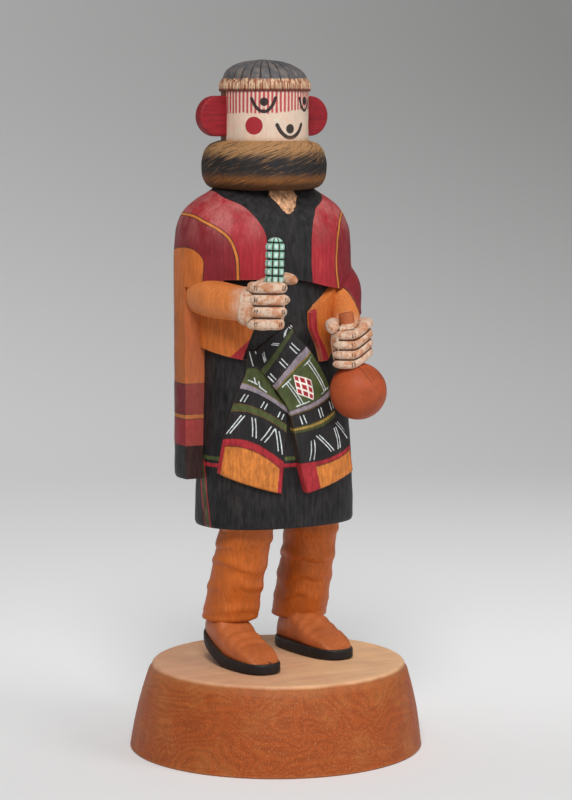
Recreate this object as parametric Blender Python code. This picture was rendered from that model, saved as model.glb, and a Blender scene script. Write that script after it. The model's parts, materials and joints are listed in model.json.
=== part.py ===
"""Carved wooden kachina doll on a round plinth, in metres, +Z up.

The doll faces -Y, so its own left is at +X. The origin is the centre of the plinth's underside.
The plinth, the two ears, the cactus and the rattle are pieces with sizes of their own. The carved
figure is one block: its forms are drawn in units of a share of its height and joined into one.
"""

import math
from bisect import bisect_right

import bmesh
import bpy
from mathutils import Vector

# Plinth
BASE_HEIGHT = 0.039
BASE_TOP_DIAMETER = 0.116
BASE_BOTTOM_DIAMETER = 0.1335
BASE_TOP_SHIFT_X = 0.001
BASE_TOP_SHIFT_Y = -0.0006
BASE_SIDE_SWELL = 0.0012
BASE_TOP_ROUNDING = 0.0022
BASE_FOOT_ROUNDING = 0.0008

# Carved figure, from the soles to the crown
FIGURE_HEIGHT = 0.272
DRAWN_HEIGHT = 272.0

# Ears: tabs glued into the sides of the head
EAR_HEIGHT = 0.018
EAR_THICKNESS = 0.0055
EAR_SHOWING_LENGTH = 0.0132
EAR_SET_IN = 0.002
EAR_ROUNDING = 0.0008

# Cactus in the right fist
CACTUS_DIAMETER = 0.0082
CACTUS_SHOWING_LENGTH = 0.0184
CACTUS_SET_IN = 0.0075
CACTUS_RIBS = 8
CACTUS_RIB_DEPTH = 0.0006
CACTUS_JOINT_PITCH = 0.0036
CACTUS_JOINT_DEPTH = 0.0005

# Rattle in the left fist
GOURD_DIAMETER = 0.0256
HANDLE_DIAMETER = 0.0068
HANDLE_ABOVE_GOURD = 0.0355
HANDLE_END_CHAMFER = 0.0006

# Every piece that sits in or on another keeps this gap
SEAT_GAP = 0.0003

# Fineness of the solids
BASE_SIDES = 48
BASE_SIDE_ROWS = (0.2, 0.5, 0.8)
BASE_RIM_STEPS = 2
BODY_SIDES = 36
HEAD_SIDES = 28
EAR_SIDES = 20
LEG_SIDES = 16
LEG_FOLD_ROWS = (26.0, 31.0, 36.0, 45.0, 50.0, 55.0, 60.0)
SOLE_SIDES = 20
SHOE_SIDES = 16
SHOE_ROWS = (0.012, 0.06, 0.14, 0.25, 0.38, 0.5, 0.63, 0.77, 0.9, 0.97, 0.992)
ARM_SIDES = 12
ARM_ROWS = 6
FINGER_SIDES = 8
FINGER_ROWS = 5
SIDES_PER_RIB = 2
CACTUS_DOME_ROWS = (0.0, 0.02, 0.08, 0.28)
GOURD_SIDES = 20
GOURD_BANDS = 10
OPENING_STEPS = 16
MERGE_DISTANCE = 1e-7
SMALLEST_CAP = 0.04
SHARP_ANGLE = 35.0

# Colours and roughness of the finishes
PLINTH_WOOD = ((0.46, 0.14, 0.045), 0.5)
PAINTED_FIGURE = ((0.035, 0.033, 0.033), 0.65)
EAR_RED = ((0.33, 0.02, 0.03), 0.55)
CACTUS_GREEN = ((0.22, 0.5, 0.36), 0.6)
GOURD_BROWN = ((0.35, 0.08, 0.03), 0.45)

UNIT = FIGURE_HEIGHT / DRAWN_HEIGHT

# Places on the figure, in drawn units above the plinth
HEAD_AXIS = (-3.5, 6.0)
HEAD_RADIUS = 19.7
EAR_MIDDLE_HEIGHT = 246.9
EAR_BEHIND_AXIS = 2.2
CACTUS_FOOT = (-24.0, -38.4, 176.5)
CACTUS_LEAN = (0.035, 0.0, 1.0)
GOURD_CENTRE = (22.4, -32.6, 125.0)
HANDLE_LEAN = (-0.14, 0.08, 1.0)

# Ovals of the figure: height, centre x, centre y, half width, half depth, squareness
DRESS = (
    (64, -0.5, 2.7, 36.9, 26.0, 2.3),
    (65.5, -0.5, 2.7, 37.3, 26.5, 2.3),
    (86, -0.5, 2.7, 36.8, 26.0, 2.3),
    (111, -0.8, 3.2, 35.8, 25.0, 2.3),
    (141, -1.5, 4.2, 34.5, 23.5, 2.3),
    (171, -2.5, 5.5, 33.5, 22.0, 2.3),
    (191, -3.5, 6.3, 33.5, 21.0, 2.3),
)
SHAWL = (
    (85.5, -4.0, 6.8, 41.2, 26.1, 2.5),
    (87, -4.0, 6.8, 41.6, 26.5, 2.5),
    (128, -4.0, 6.8, 41.6, 26.5, 2.5),
    (163, -2.8, 6.8, 42.8, 26.5, 2.5),
    (183, -4.0, 6.8, 41.6, 26.5, 2.5),
    (195, -4.0, 6.8, 41.0, 25.6, 2.5),
    (202, -4.2, 7.0, 39.2, 23.5, 2.4),
    (206, -4.2, 7.0, 36.8, 21.5, 2.3),
    (210, -4.2, 7.0, 32.0, 19.0, 2.2),
    (213.5, -4.0, 7.0, 26.0, 16.5, 2.1),
    (218, -3.8, 7.0, 20.0, 14.0, 2.0),
)
RUFF = (
    (214.0, -3.7, 6.2, 19.5, 18.5, 2.0),
    (214.8, -3.7, 6.2, 24.0, 22.8, 2.0),
    (217.0, -3.7, 6.2, 26.8, 25.5, 2.0),
    (221.0, -3.7, 6.2, 28.3, 27.0, 2.0),
    (225.5, -3.7, 6.2, 28.6, 27.2, 2.0),
    (231.0, -3.7, 6.2, 27.4, 26.0, 2.0),
    (234.5, -3.7, 6.2, 24.6, 23.4, 2.0),
    (236.0, -3.7, 6.2, 20.5, 20.0, 2.0),
)
HEAD = (
    (208.0, -3.5, 6.0, 14.0, 14.0, 2.0),
    (228.0, -3.5, 6.0, 17.5, 17.5, 2.0),
    (236.0, -3.5, 6.0, HEAD_RADIUS, HEAD_RADIUS, 2.0),
    (258.0, -3.5, 6.0, HEAD_RADIUS, HEAD_RADIUS, 2.0),
    (262.0, -3.5, 6.0, 18.0, 18.0, 2.0),
)
FRINGE = (
    (257.6, -3.5, 6.0, 19.2, 19.2, 2.0),
    (258.0, -3.5, 6.0, 20.5, 20.5, 2.0),
    (260.5, -3.5, 6.0, 20.6, 20.6, 2.0),
    (263.6, -3.5, 6.0, 19.2, 19.2, 2.0),
)
CAP = (
    (262.0, -3.5, 6.0, 19.0, 19.0, 2.0),
    (264.2, -3.5, 6.0, 18.7, 18.7, 2.0),
    (267.0, -3.8, 6.1, 17.0, 17.0, 2.0),
    (269.4, -4.1, 6.2, 13.4, 13.4, 2.0),
    (271.2, -4.4, 6.3, 8.0, 8.0, 2.0),
    (272.0, -4.6, 6.4, 1.4, 1.4, 2.0),
)
RIGHT_LEG = (
    (17.2, -19.6, 10.6, 10.6, 10.2, 2.2),
    (18.2, -19.5, 10.4, 12.2, 11.8, 2.2),
    (22.0, -19.4, 9.5, 12.4, 12.3, 2.2),
    (40.0, -18.8, 4.5, 12.3, 12.2, 2.2),
    (64.0, -17.9, -3.0, 12.3, 12.0, 2.2),
    (74.0, -17.6, -5.0, 12.3, 12.0, 2.2),
)
LEFT_LEG = (
    (17.2, 23.3, 20.9, 10.6, 10.4, 2.2),
    (18.2, 23.3, 20.7, 12.2, 12.1, 2.2),
    (22.0, 23.3, 19.5, 12.6, 12.6, 2.2),
    (40.0, 22.8, 14.0, 12.2, 12.3, 2.2),
    (64.0, 22.1, 7.0, 11.6, 11.5, 2.2),
    (74.0, 21.7, 4.0, 11.5, 11.4, 2.2),
)
# Folds of the leggings: distance between them, depth, how far they slant and where they fade out
FOLD_PITCH = 8.0
FOLD_DEPTH = 0.42
FOLD_SLANT = 0.4
FOLD_TURN = 60.0
FOLD_FADE_FOOT = 6.0
FOLD_FADE_TOP = 4.0

# Hair: locks round the head, and how deep the grooves between them are
HAIR_LOCKS = 26
HAIR_LOCK_DEPTH = 0.45
HAIR_LOCK_FADE = 3.0

# Shawl: hem over the forearms as x and height, and the x and y of its front edges at the two arms
SHAWL_HEM = (
    (-60, 170.5), (-42, 172), (-36, 175.3), (-18, 175.3),
    (0, 174.5), (16, 171), (32, 168.5), (60, 166),
)
SHAWL_EDGE_RIGHT = (-42.6, 3.6)
SHAWL_EDGE_LEFT = (38.0, -1.0)

# Feet: plan of the sole, and the height of the shoe from heel to toe
SOLE_THICKNESS = 4.6
SOLE_WELT = 0.8
SOLE_EDGE_HEIGHT = 0.8
SOLE_EDGE_INSET = 0.6
HEEL_HALF_WIDTH = 8.6
BALL_EXTRA_WIDTH = 1.9
FOOT_SQUARENESS = 2.5
HEEL_LIFT_SHARE = 0.5
HEEL_LIFT_CURVE = 1.2
SHOE_DEPTH_IN_SOLE = 1.9
SHOE_END_ROUNDNESS = 6.0
SHOE_SQUARENESS = 2.8
SHOE_TOPS = ((0.0, 12.0), (0.12, 19.0), (0.35, 20.0), (0.5, 16.5), (0.68, 12.0), (0.85, 9.6), (1.0, 6.0))
RIGHT_HEEL = (-22.8, 22.0)
RIGHT_TOE = (-20.0, -28.0)
RIGHT_HEEL_LIFT = 9.0
LEFT_HEEL = (20.0, 31.5)
LEFT_TOE = (25.0, -17.0)

# Arms and fists: x, y, height, half width, half height
RIGHT_ARM = (
    (-37.5, 2.0, 168.0, 8.0, 8.6),
    (-37.8, -8.0, 167.0, 8.0, 8.4),
    (-35.8, -18.0, 166.2, 7.6, 8.0),
    (-33.0, -26.0, 165.6, 7.0, 7.6),
    (-30.0, -31.5, 165.0, 6.6, 8.4),
)
LEFT_ARM = (
    (32.5, 4.0, 174.0, 7.5, 8.0),
    (30.4, -7.0, 168.5, 7.0, 7.8),
    (25.8, -16.0, 161.0, 6.5, 6.8),
    (22.0, -23.5, 153.5, 6.2, 6.4),
    (20.0, -27.5, 149.0, 6.6, 7.0),
)
ARM_SQUARENESS = 2.3
FIST_SQUARENESS = 2.6
THUMB_SQUARENESS = 2.1
LIMB_END_ROWS = (0.3, 0.06)
LIMB_END_SCALE = 0.12
HEADING_STEP = 0.01
RIGHT_FIST_CENTRE = (-27.0, -36.5, 165.0)
RIGHT_FIST_ALONG = (0.8, -0.6, 0.0)
RIGHT_FIST_OUT = (-0.6, -0.8, 0.0)
LEFT_FIST_CENTRE = (18.8, -30.4, 146.0)
LEFT_FIST_ALONG = (-1.0, 0.0, 0.0)
LEFT_FIST_OUT = (0.0, -1.0, 0.0)

# In a fist's own directions: along the fingers, outwards, up, half depth, half height
RIGHT_PALM = (
    (-11.0, 0.5, 0.5, 5.6, 7.2),
    (-7.0, 0.5, 0.0, 6.4, 9.2),
    (-2.0, -0.2, 0.0, 6.2, 10.6),
    (4.0, -1.4, 0.2, 5.2, 10.2),
    (8.0, -2.0, 0.4, 3.6, 8.4),
)
# Fingers: height and how far the tip reaches
# Bend of a finger: along, out, share of the knuckle's rise and share of the depth
RIGHT_FINGERS = ((8.4, 9.8), (3.2, 11.0), (-2.0, 9.6), (-7.3, 8.4))
RIGHT_FINGER_SIZE = (3.3, 2.5)
RIGHT_FINGER_BEND = (
    (-6.0, 2.6, 0.0, 0.9),
    (-2.5, 5.0, 0.0, 1.0),
    (4.0, 5.6, 0.0, 1.0),
    (0.0, 3.6, 0.0, 0.9),
)
RIGHT_KNUCKLE_RISE = 0.0
RIGHT_THUMB = (
    (-5.0, -5.5, 7.0, 3.2, 3.2),
    (2.0, -6.4, 10.4, 3.0, 3.0),
    (8.0, -5.0, 11.8, 2.8, 2.7),
    (13.5, -2.0, 10.8, 2.0, 2.0),
)
LEFT_PALM = (
    (8.2, 1.5, -1.5, 2.5, 7.0),
    (5.0, 1.0, -1.0, 4.8, 9.6),
    (0.0, 0.5, 0.0, 6.2, 9.8),
    (-5.0, -0.5, 1.5, 5.8, 9.4),
    (-9.0, -1.8, 3.5, 4.0, 7.4),
)
LEFT_FINGERS = ((4.6, 8.6), (0.2, 8.6), (-4.2, 8.6), (-8.4, 8.6))
LEFT_FINGER_SIZE = (3.0, 2.1)
LEFT_FINGER_BEND = (
    (-9.4, -1.5, 1.14, 1.0),
    (-7.0, 3.2, 1.0, 1.0),
    (2.4, 5.6, 0.0, 1.0),
    (0.0, 0.2, 0.0, 0.9),
)
LEFT_KNUCKLE_RISE = 4.4
LEFT_THUMB = (
    (2.0, -6.0, 8.0, 3.2, 3.0),
    (7.0, -2.6, 8.8, 3.3, 3.1),
    (9.8, 3.4, 6.6, 2.6, 2.6),
)

# Sash ends, from the knot down: turn and height of each edge, and how far they stand off the dress
UNDER_SASH = (
    (-127.3, 144.6, -115.4, 143.7, 1.0),
    (-129.4, 134.5, -107.3, 125.9, 2.0),
    (-134.1, 128.7, -98.9, 117.2, 2.4),
    (-142.5, 119.0, -99.7, 110.1, 2.4),
    (-151.8, 104.2, -102.2, 96.7, 2.4),
    (-158.0, 89.3, -104.8, 80.1, 2.4),
)
UPPER_SASH = (
    (-131.3, 140.0, -90.6, 156.5, 0.8),
    (-116.3, 134.2, -92.5, 153.0, 2.4),
    (-109.0, 128.3, -86.4, 145.2, 3.8),
    (-106.8, 126.3, -84.1, 142.5, 4.3),
    (-99.4, 117.5, -72.6, 126.8, 4.6),
    (-96.8, 108.5, -69.0, 115.4, 4.6),
    (-93.9, 93.7, -55.1, 100.2, 4.6),
    (-90.0, 80.0, -52.5, 87.4, 4.6),
)
# Corners of the shawl's lining that hang below the forearms, in the same way
RIGHT_CORNER = (
    (-184.0, 166.0, -112.0, 164.0, 2.6),
    (-182.0, 152.0, -124.0, 150.0, 2.6),
    (-180.4, 144.8, -132.3, 139.8, 2.6),
)
LEFT_CORNER = (
    (-80.3, 160.0, -34.0, 178.0, 2.6),
    (-80.6, 153.9, -36.0, 160.0, 2.6),
    (-75.2, 143.5, -62.0, 143.0, 2.6),
    (-73.4, 137.7, -69.0, 138.0, 2.6),
)
SLAB_DEPTH = 8.0


def blended(stations, key):
    """Values at a key between stations, on a cubic that never swings past them."""
    keys = [station[0] for station in stations]
    last = len(stations) - 1
    at = min(max(bisect_right(keys, key) - 1, 0), last - 1)
    span = keys[at + 1] - keys[at]
    t = min(max((key - keys[at]) / span, 0.0), 1.0)
    values = []
    for column in range(1, len(stations[0])):
        here, after = stations[at][column], stations[at + 1][column]
        rise = (after - here) / span
        before_rise = after_rise = rise
        if at > 0:
            before_rise = (here - stations[at - 1][column]) / (keys[at] - keys[at - 1])
        if at + 2 <= last:
            after_rise = (stations[at + 2][column] - after) / (keys[at + 2] - keys[at + 1])
        start = mean_slope(before_rise, rise) * span
        end = mean_slope(rise, after_rise) * span
        values.append(
            here * (2 * t**3 - 3 * t**2 + 1)
            + start * (t**3 - 2 * t**2 + t)
            + after * (3 * t**2 - 2 * t**3)
            + end * (t**3 - t**2)
        )
    return values


def mean_slope(first, second):
    """Slope shared by two neighbouring stretches, level where they turn round."""
    if first * second <= 0:
        return 0.0
    return 2 * first * second / (first + second)


def drawn(x, y, height):
    """Place on the figure, from drawn units above the plinth to metres."""
    foot = Vector((BASE_TOP_SHIFT_X, BASE_TOP_SHIFT_Y, BASE_HEIGHT + SEAT_GAP))
    return foot + Vector((x, y, height)) * UNIT


def signed_power(value, power):
    return math.copysign(abs(value) ** power, value)


def oval_point(stations, turn, height, rise=0.0):
    """Point of a stack of ovals at a turn in degrees, where -90 is the front."""
    x, y, half_width, half_depth, squareness = blended(stations, height)
    angle = math.radians(turn)
    power = 2 / squareness
    return (
        x + (half_width + rise) * signed_power(math.cos(angle), power),
        y + (half_depth + rise) * signed_power(math.sin(angle), power),
        height,
    )


def solid(name, surface, around, rows):
    """Closed mesh from surface(u, v), wrapped round in u and closed flat at both ends of v."""
    shape = bmesh.new()
    bmesh.ops.create_grid(shape, x_segments=around, y_segments=len(rows) - 1, size=1.0)
    for vert in shape.verts:
        across = (vert.co.x + 1) / 2
        row = round((vert.co.y + 1) / 2 * (len(rows) - 1))
        vert.co = surface(across % 1.0, rows[row])
    bmesh.ops.remove_doubles(shape, verts=shape.verts, dist=MERGE_DISTANCE)
    bmesh.ops.holes_fill(shape, edges=shape.edges)
    shape.normal_update()
    bmesh.ops.recalc_face_normals(shape, faces=shape.faces)
    mesh = bpy.data.meshes.new(name)
    shape.to_mesh(mesh)
    shape.free()
    mesh.shade_smooth()
    mesh.set_sharp_from_angle(angle=math.radians(SHARP_ANGLE))
    return bpy.data.objects.new(name, mesh)


def even_rows(count):
    return [step / count for step in range(count + 1)]


def tower(name, stations, sides):
    """Upright form through every station."""

    def surface(u, height):
        return drawn(*oval_point(stations, 360 * u, height))

    return solid(name, surface, sides, [station[0] for station in stations])


def limb(name, path, sides, count, squareness, round_end=True, frame=None):
    """Form swept along a path of x, y, height, half width and half height."""
    stations = [(place / (len(path) - 1), *point) for place, point in enumerate(path)]
    up = Vector((0, 0, 1))
    power = 2 / squareness
    rows = even_rows(count)
    if round_end:
        rows = [*rows[:-1], *(1 - share / count for share in LIMB_END_ROWS), 1.0]

    def centre(v):
        values = blended(stations, v)
        if frame:
            origin, along, out = (Vector(part) for part in frame)
            return origin + along * values[0] + out * values[1] + up * values[2]
        return Vector(values[:3])

    def end_scale(v):
        left = (1 - v) * count
        if not round_end or left >= 1:
            return 1.0
        return max(math.sqrt(1 - (1 - left) ** 2), LIMB_END_SCALE)

    def surface(u, v):
        half_width, half_height = blended(stations, v)[3:]
        heading = centre(min(v + HEADING_STEP, 1)) - centre(max(v - HEADING_STEP, 0))
        side = heading.cross(up).normalized()
        top = side.cross(heading).normalized()
        angle = 2 * math.pi * u
        scale = end_scale(v)
        across = half_width * scale * signed_power(math.cos(angle), power)
        upwards = half_height * scale * signed_power(math.sin(angle), power)
        return drawn(*(centre(v) + side * across + top * upwards))

    return solid(name, surface, sides, rows)


def shawl_opening():
    """Block cut from the front of the shawl, up to the hem and back to its front edges."""
    left, right = SHAWL_HEM[0][0], SHAWL_HEM[-1][0]
    right_x, right_y = SHAWL_EDGE_RIGHT
    left_x, left_y = SHAWL_EDGE_LEFT
    edge_slope = (left_y - right_y) / (left_x - right_x)

    def surface(u, reach):
        lower = u < 1 / 2
        x = left + (right - left) * (2 * u if lower else 2 - 2 * u)
        height = 0 if lower else blended(SHAWL_HEM, x)[0]
        back = right_y + edge_slope * (x - right_x)
        return drawn(x, back + reach, height)

    return solid("shawl_opening", surface, 2 * OPENING_STEPS, [left, 0])


def locks(name, stations):
    """Hair cut into locks by grooves that run down it."""

    def surface(u, height):
        groove = abs(math.cos(HAIR_LOCKS * math.pi * u))
        fade = min((stations[-1][0] - height) / HAIR_LOCK_FADE, 1.0)
        return drawn(*oval_point(stations, 360 * u, height, -HAIR_LOCK_DEPTH * groove * fade))

    return solid(name, surface, 2 * HAIR_LOCKS, [station[0] for station in stations])


def leg_form(name, stations):
    """Legging with soft slanting folds."""
    heights = sorted({station[0] for station in stations} | set(LEG_FOLD_ROWS))
    foot, top = stations[1][0], stations[-1][0]

    def surface(u, height):
        turn = 360 * u
        wave = height / FOLD_PITCH + FOLD_SLANT * math.sin(math.radians(turn + FOLD_TURN))
        fade = min(max((height - foot) / FOLD_FADE_FOOT, 0.0), 1.0) * min((top - height) / FOLD_FADE_TOP, 1.0)
        rise = FOLD_DEPTH * fade * math.sin(2 * math.pi * wave)
        return drawn(*oval_point(stations, turn, height, rise))

    return solid(name, surface, LEG_SIDES, heights)


def sole_half_width(share):
    """Half width of the foot at a share of its length, from heel to toe."""
    full = HEEL_HALF_WIDTH + BALL_EXTRA_WIDTH * share
    return full * max(1 - abs(2 * share - 1) ** FOOT_SQUARENESS, 0.0) ** (1 / FOOT_SQUARENESS)


def foot_place(heel, toe, lift, share, across, height):
    """Place in a foot: a share of its length, a distance to its side and a height."""
    heading = Vector((toe[0] - heel[0], toe[1] - heel[1]))
    side = Vector((-heading.y, heading.x)).normalized()
    x = heel[0] + heading.x * share + side.x * across
    y = heel[1] + heading.y * share + side.y * across
    raised = lift * max(1 - share / HEEL_LIFT_SHARE, 0.0) ** HEEL_LIFT_CURVE
    return drawn(x, y, height + raised)


def sole_form(name, heel, toe, lift):
    """Black sole, a slab with the outline of the foot and a narrow welt."""
    length = math.dist(heel, toe)
    power = 2 / FOOT_SQUARENESS

    def surface(u, height):
        angle = 2 * math.pi * u
        welt = SOLE_WELT - (SOLE_EDGE_INSET if height == 0 else 0.0)
        share = (1 + signed_power(math.cos(angle), power)) / 2
        across = (HEEL_HALF_WIDTH + BALL_EXTRA_WIDTH * share + welt) * signed_power(math.sin(angle), power)
        share += (share - 1 / 2) * 2 * welt / length
        return foot_place(heel, toe, lift, share, across, height)

    return solid(name, surface, SOLE_SIDES, [0, SOLE_EDGE_HEIGHT, SOLE_THICKNESS])


def shoe_form(name, heel, toe, lift):
    """Moccasin upper, from the heel over the instep to the toe."""
    floor = SOLE_THICKNESS - SHOE_DEPTH_IN_SOLE
    power = 2 / SHOE_SQUARENESS

    def surface(u, share):
        angle = 2 * math.pi * u
        end = max(1 - abs(2 * share - 1) ** SHOE_END_ROUNDNESS, 0.0)
        half_height = (blended(SHOE_TOPS, share)[0] - floor) * end / 2
        across = sole_half_width(share) * signed_power(math.cos(angle), power)
        height = floor + half_height * (1 + signed_power(math.sin(angle), power))
        return foot_place(heel, toe, lift, share, across, height)

    return solid(name, surface, SHOE_SIDES, SHOE_ROWS)


def slab_form(name, edges, across, rows):
    """Cloth lying on the dress between two edges, thick enough to reach into the body."""
    stations = [(place / (len(edges) - 1), *edge) for place, edge in enumerate(edges)]
    last = 2 * across + 1

    def surface(u, v):
        turn_a, height_a, turn_b, height_b, rise = blended(stations, v)
        place = round(u * (last + 1))
        outside = place <= across
        share = (place if outside else last - place) / across
        turn = turn_a + (turn_b - turn_a) * share
        height = height_a + (height_b - height_a) * share
        return drawn(*oval_point(DRESS, turn, height, rise if outside else rise - SLAB_DEPTH))

    return solid(name, surface, last + 1, even_rows(rows))


def fist_forms(name, frame, palm, fingers, thumb):
    """Palm, four fingers stacked upright and a thumb."""
    forms = [limb(f"{name}_palm", palm, ARM_SIDES, ARM_ROWS, FIST_SQUARENESS, frame=frame)]
    for number, finger in enumerate(fingers):
        finger_name = f"{name}_finger_{number}"
        forms.append(limb(finger_name, finger, FINGER_SIDES, FINGER_ROWS, FIST_SQUARENESS, frame=frame))
    forms.append(limb(f"{name}_thumb", thumb, FINGER_SIDES, FINGER_ROWS, THUMB_SQUARENESS, frame=frame))
    return forms


def finger_path(bend, tip, height, knuckle_rise, size):
    """One finger from the knuckle to its tip, which may end nearer or further than the bend is drawn."""
    depth, half_height = size
    path = []
    for place, (along, out, rise_share, depth_share) in enumerate(bend):
        along += tip if place == len(bend) - 1 else 0.0
        path.append((along, out, height + knuckle_rise * rise_share, depth * depth_share, half_height))
    return path


def cactus_axis():
    """Foot of the showing length, and the direction that the cactus points in."""
    return drawn(*CACTUS_FOOT), Vector(CACTUS_LEAN).normalized()


def turned_place(foot, axis, along, radius, angle):
    side = axis.cross(Vector((0, 1, 0))).normalized()
    front = axis.cross(side)
    return foot + axis * along + (side * math.cos(angle) + front * math.sin(angle)) * radius


def cactus_radius(along, angle):
    """Radius of the ribbed stem, which ends in a dome."""
    radius = CACTUS_DIAMETER / 2
    rib = abs(math.sin(CACTUS_RIBS * angle / 2))
    joint = abs(math.sin(math.pi * (CACTUS_SHOWING_LENGTH - along) / CACTUS_JOINT_PITCH))
    carved = radius - CACTUS_RIB_DEPTH * (1 - rib) ** 2 - CACTUS_JOINT_DEPTH * (1 - joint) ** 2
    left = CACTUS_SHOWING_LENGTH - along
    if left < radius:
        carved *= max(math.sqrt(1 - (1 - left / radius) ** 2), SMALLEST_CAP)
    return carved


def cactus_solid():
    foot, axis = cactus_axis()
    pitch = CACTUS_JOINT_PITCH
    joints = int(CACTUS_SHOWING_LENGTH / pitch)
    showing = {CACTUS_SHOWING_LENGTH - pitch * step / 2 for step in range(1, 2 * joints + 1)}
    dome = {CACTUS_SHOWING_LENGTH - CACTUS_DIAMETER * share for share in CACTUS_DOME_ROWS}
    rows = [-CACTUS_SET_IN, *sorted(showing | dome)]

    def surface(u, along):
        angle = 2 * math.pi * u
        return turned_place(foot, axis, along, cactus_radius(along, angle), angle)

    return solid("cactus", surface, SIDES_PER_RIB * CACTUS_RIBS, rows)


def cactus_seat():
    """Hole in the right fist for the cactus."""
    foot, axis = cactus_axis()
    radius = CACTUS_DIAMETER / 2 + SEAT_GAP

    def surface(u, along):
        return turned_place(foot, axis, along, radius, 2 * math.pi * u)

    rows = [-CACTUS_SET_IN - SEAT_GAP, CACTUS_SHOWING_LENGTH]
    return solid("cactus_seat", surface, SIDES_PER_RIB * CACTUS_RIBS, rows)


def rattle_form(name, gap):
    """Round gourd with its handle, larger all over by a gap."""
    foot = drawn(*GOURD_CENTRE)
    axis = Vector(HANDLE_LEAN).normalized()
    gourd = GOURD_DIAMETER / 2 + gap
    handle = HANDLE_DIAMETER / 2 + gap
    top = HANDLE_ABOVE_GOURD + gap
    pole, neck = -math.acos(SMALLEST_CAP), math.acos(handle / gourd)
    turns = [pole + (neck - pole) * step / GOURD_BANDS for step in range(GOURD_BANDS + 1)]
    rows = [(gourd * math.sin(turn), gourd * math.cos(turn)) for turn in turns]
    rows += [(top - HANDLE_END_CHAMFER, handle), (top, handle - HANDLE_END_CHAMFER)]

    def surface(u, row):
        along, radius = row
        return turned_place(foot, axis, along, radius, 2 * math.pi * u)

    return solid(name, surface, GOURD_SIDES, rows)


def ear_form(name, side, gap):
    """Tab with a round outer end, set into the head, larger all over by a gap."""
    half_height = EAR_HEIGHT / 2
    head_edge = HEAD_RADIUS * UNIT
    outer = head_edge + EAR_SHOWING_LENGTH - half_height
    inner = head_edge - EAR_SET_IN
    thickness = EAR_THICKNESS + 2 * gap
    middle = drawn(HEAD_AXIS[0], HEAD_AXIS[1] + EAR_BEHIND_AXIS, EAR_MIDDLE_HEIGHT)
    shape = bmesh.new()
    bmesh.ops.create_circle(shape, cap_ends=True, segments=EAR_SIDES, radius=half_height + gap)
    for vert in shape.verts:
        reach = outer + vert.co.x
        if vert.co.x < -MERGE_DISTANCE:
            reach = inner - gap
        vert.co = Vector((reach, -thickness / 2, vert.co.y))
    face = shape.faces[:]
    grown = bmesh.ops.extrude_face_region(shape, geom=face)
    moved = [part for part in grown["geom"] if isinstance(part, bmesh.types.BMVert)]
    bmesh.ops.translate(shape, verts=moved, vec=(0, thickness, 0))
    shape.normal_update()
    bmesh.ops.recalc_face_normals(shape, faces=shape.faces)
    if gap == 0:
        rim = [edge for edge in shape.edges if edge.calc_face_angle(0) > math.radians(SHARP_ANGLE)]
        bmesh.ops.bevel(
            shape, geom=rim, offset=EAR_ROUNDING, offset_type="OFFSET", segments=2,
            profile=0.5, affect="EDGES", material=-1,
        )
    for vert in shape.verts:
        vert.co.x *= side
        vert.co += middle
    shape.normal_update()
    bmesh.ops.recalc_face_normals(shape, faces=shape.faces)
    mesh = bpy.data.meshes.new(name)
    shape.to_mesh(mesh)
    shape.free()
    mesh.shade_smooth()
    mesh.set_sharp_from_angle(angle=math.radians(SHARP_ANGLE))
    return bpy.data.objects.new(name, mesh)


def base_solid():
    """Round plinth that widens downwards, a little askew, with a softened rim."""
    top = BASE_TOP_DIAMETER / 2
    bottom = BASE_BOTTOM_DIAMETER / 2
    profile = [(bottom - BASE_FOOT_ROUNDING, 0.0), (bottom, BASE_FOOT_ROUNDING)]
    for share in BASE_SIDE_ROWS:
        swell = BASE_SIDE_SWELL * math.sin(math.pi * share)
        profile.append((bottom + (top - bottom) * share + swell, BASE_HEIGHT * share))
    for step in range(BASE_RIM_STEPS + 1):
        angle = math.pi / 2 * step / BASE_RIM_STEPS
        radius = top - BASE_TOP_ROUNDING * (1 - math.cos(angle))
        profile.append((radius, BASE_HEIGHT - BASE_TOP_ROUNDING * (1 - math.sin(angle))))

    def surface(u, place):
        radius, height = profile[place]
        share = height / BASE_HEIGHT
        x = radius * math.cos(2 * math.pi * u) + BASE_TOP_SHIFT_X * share
        y = radius * math.sin(2 * math.pi * u) + BASE_TOP_SHIFT_Y * share
        return Vector((x, y, height))

    return solid("base", surface, BASE_SIDES, list(range(len(profile))))


def fingers(places, bend, knuckle_rise, size):
    return [finger_path(bend, tip, height, knuckle_rise, size) for height, tip in places]


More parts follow.
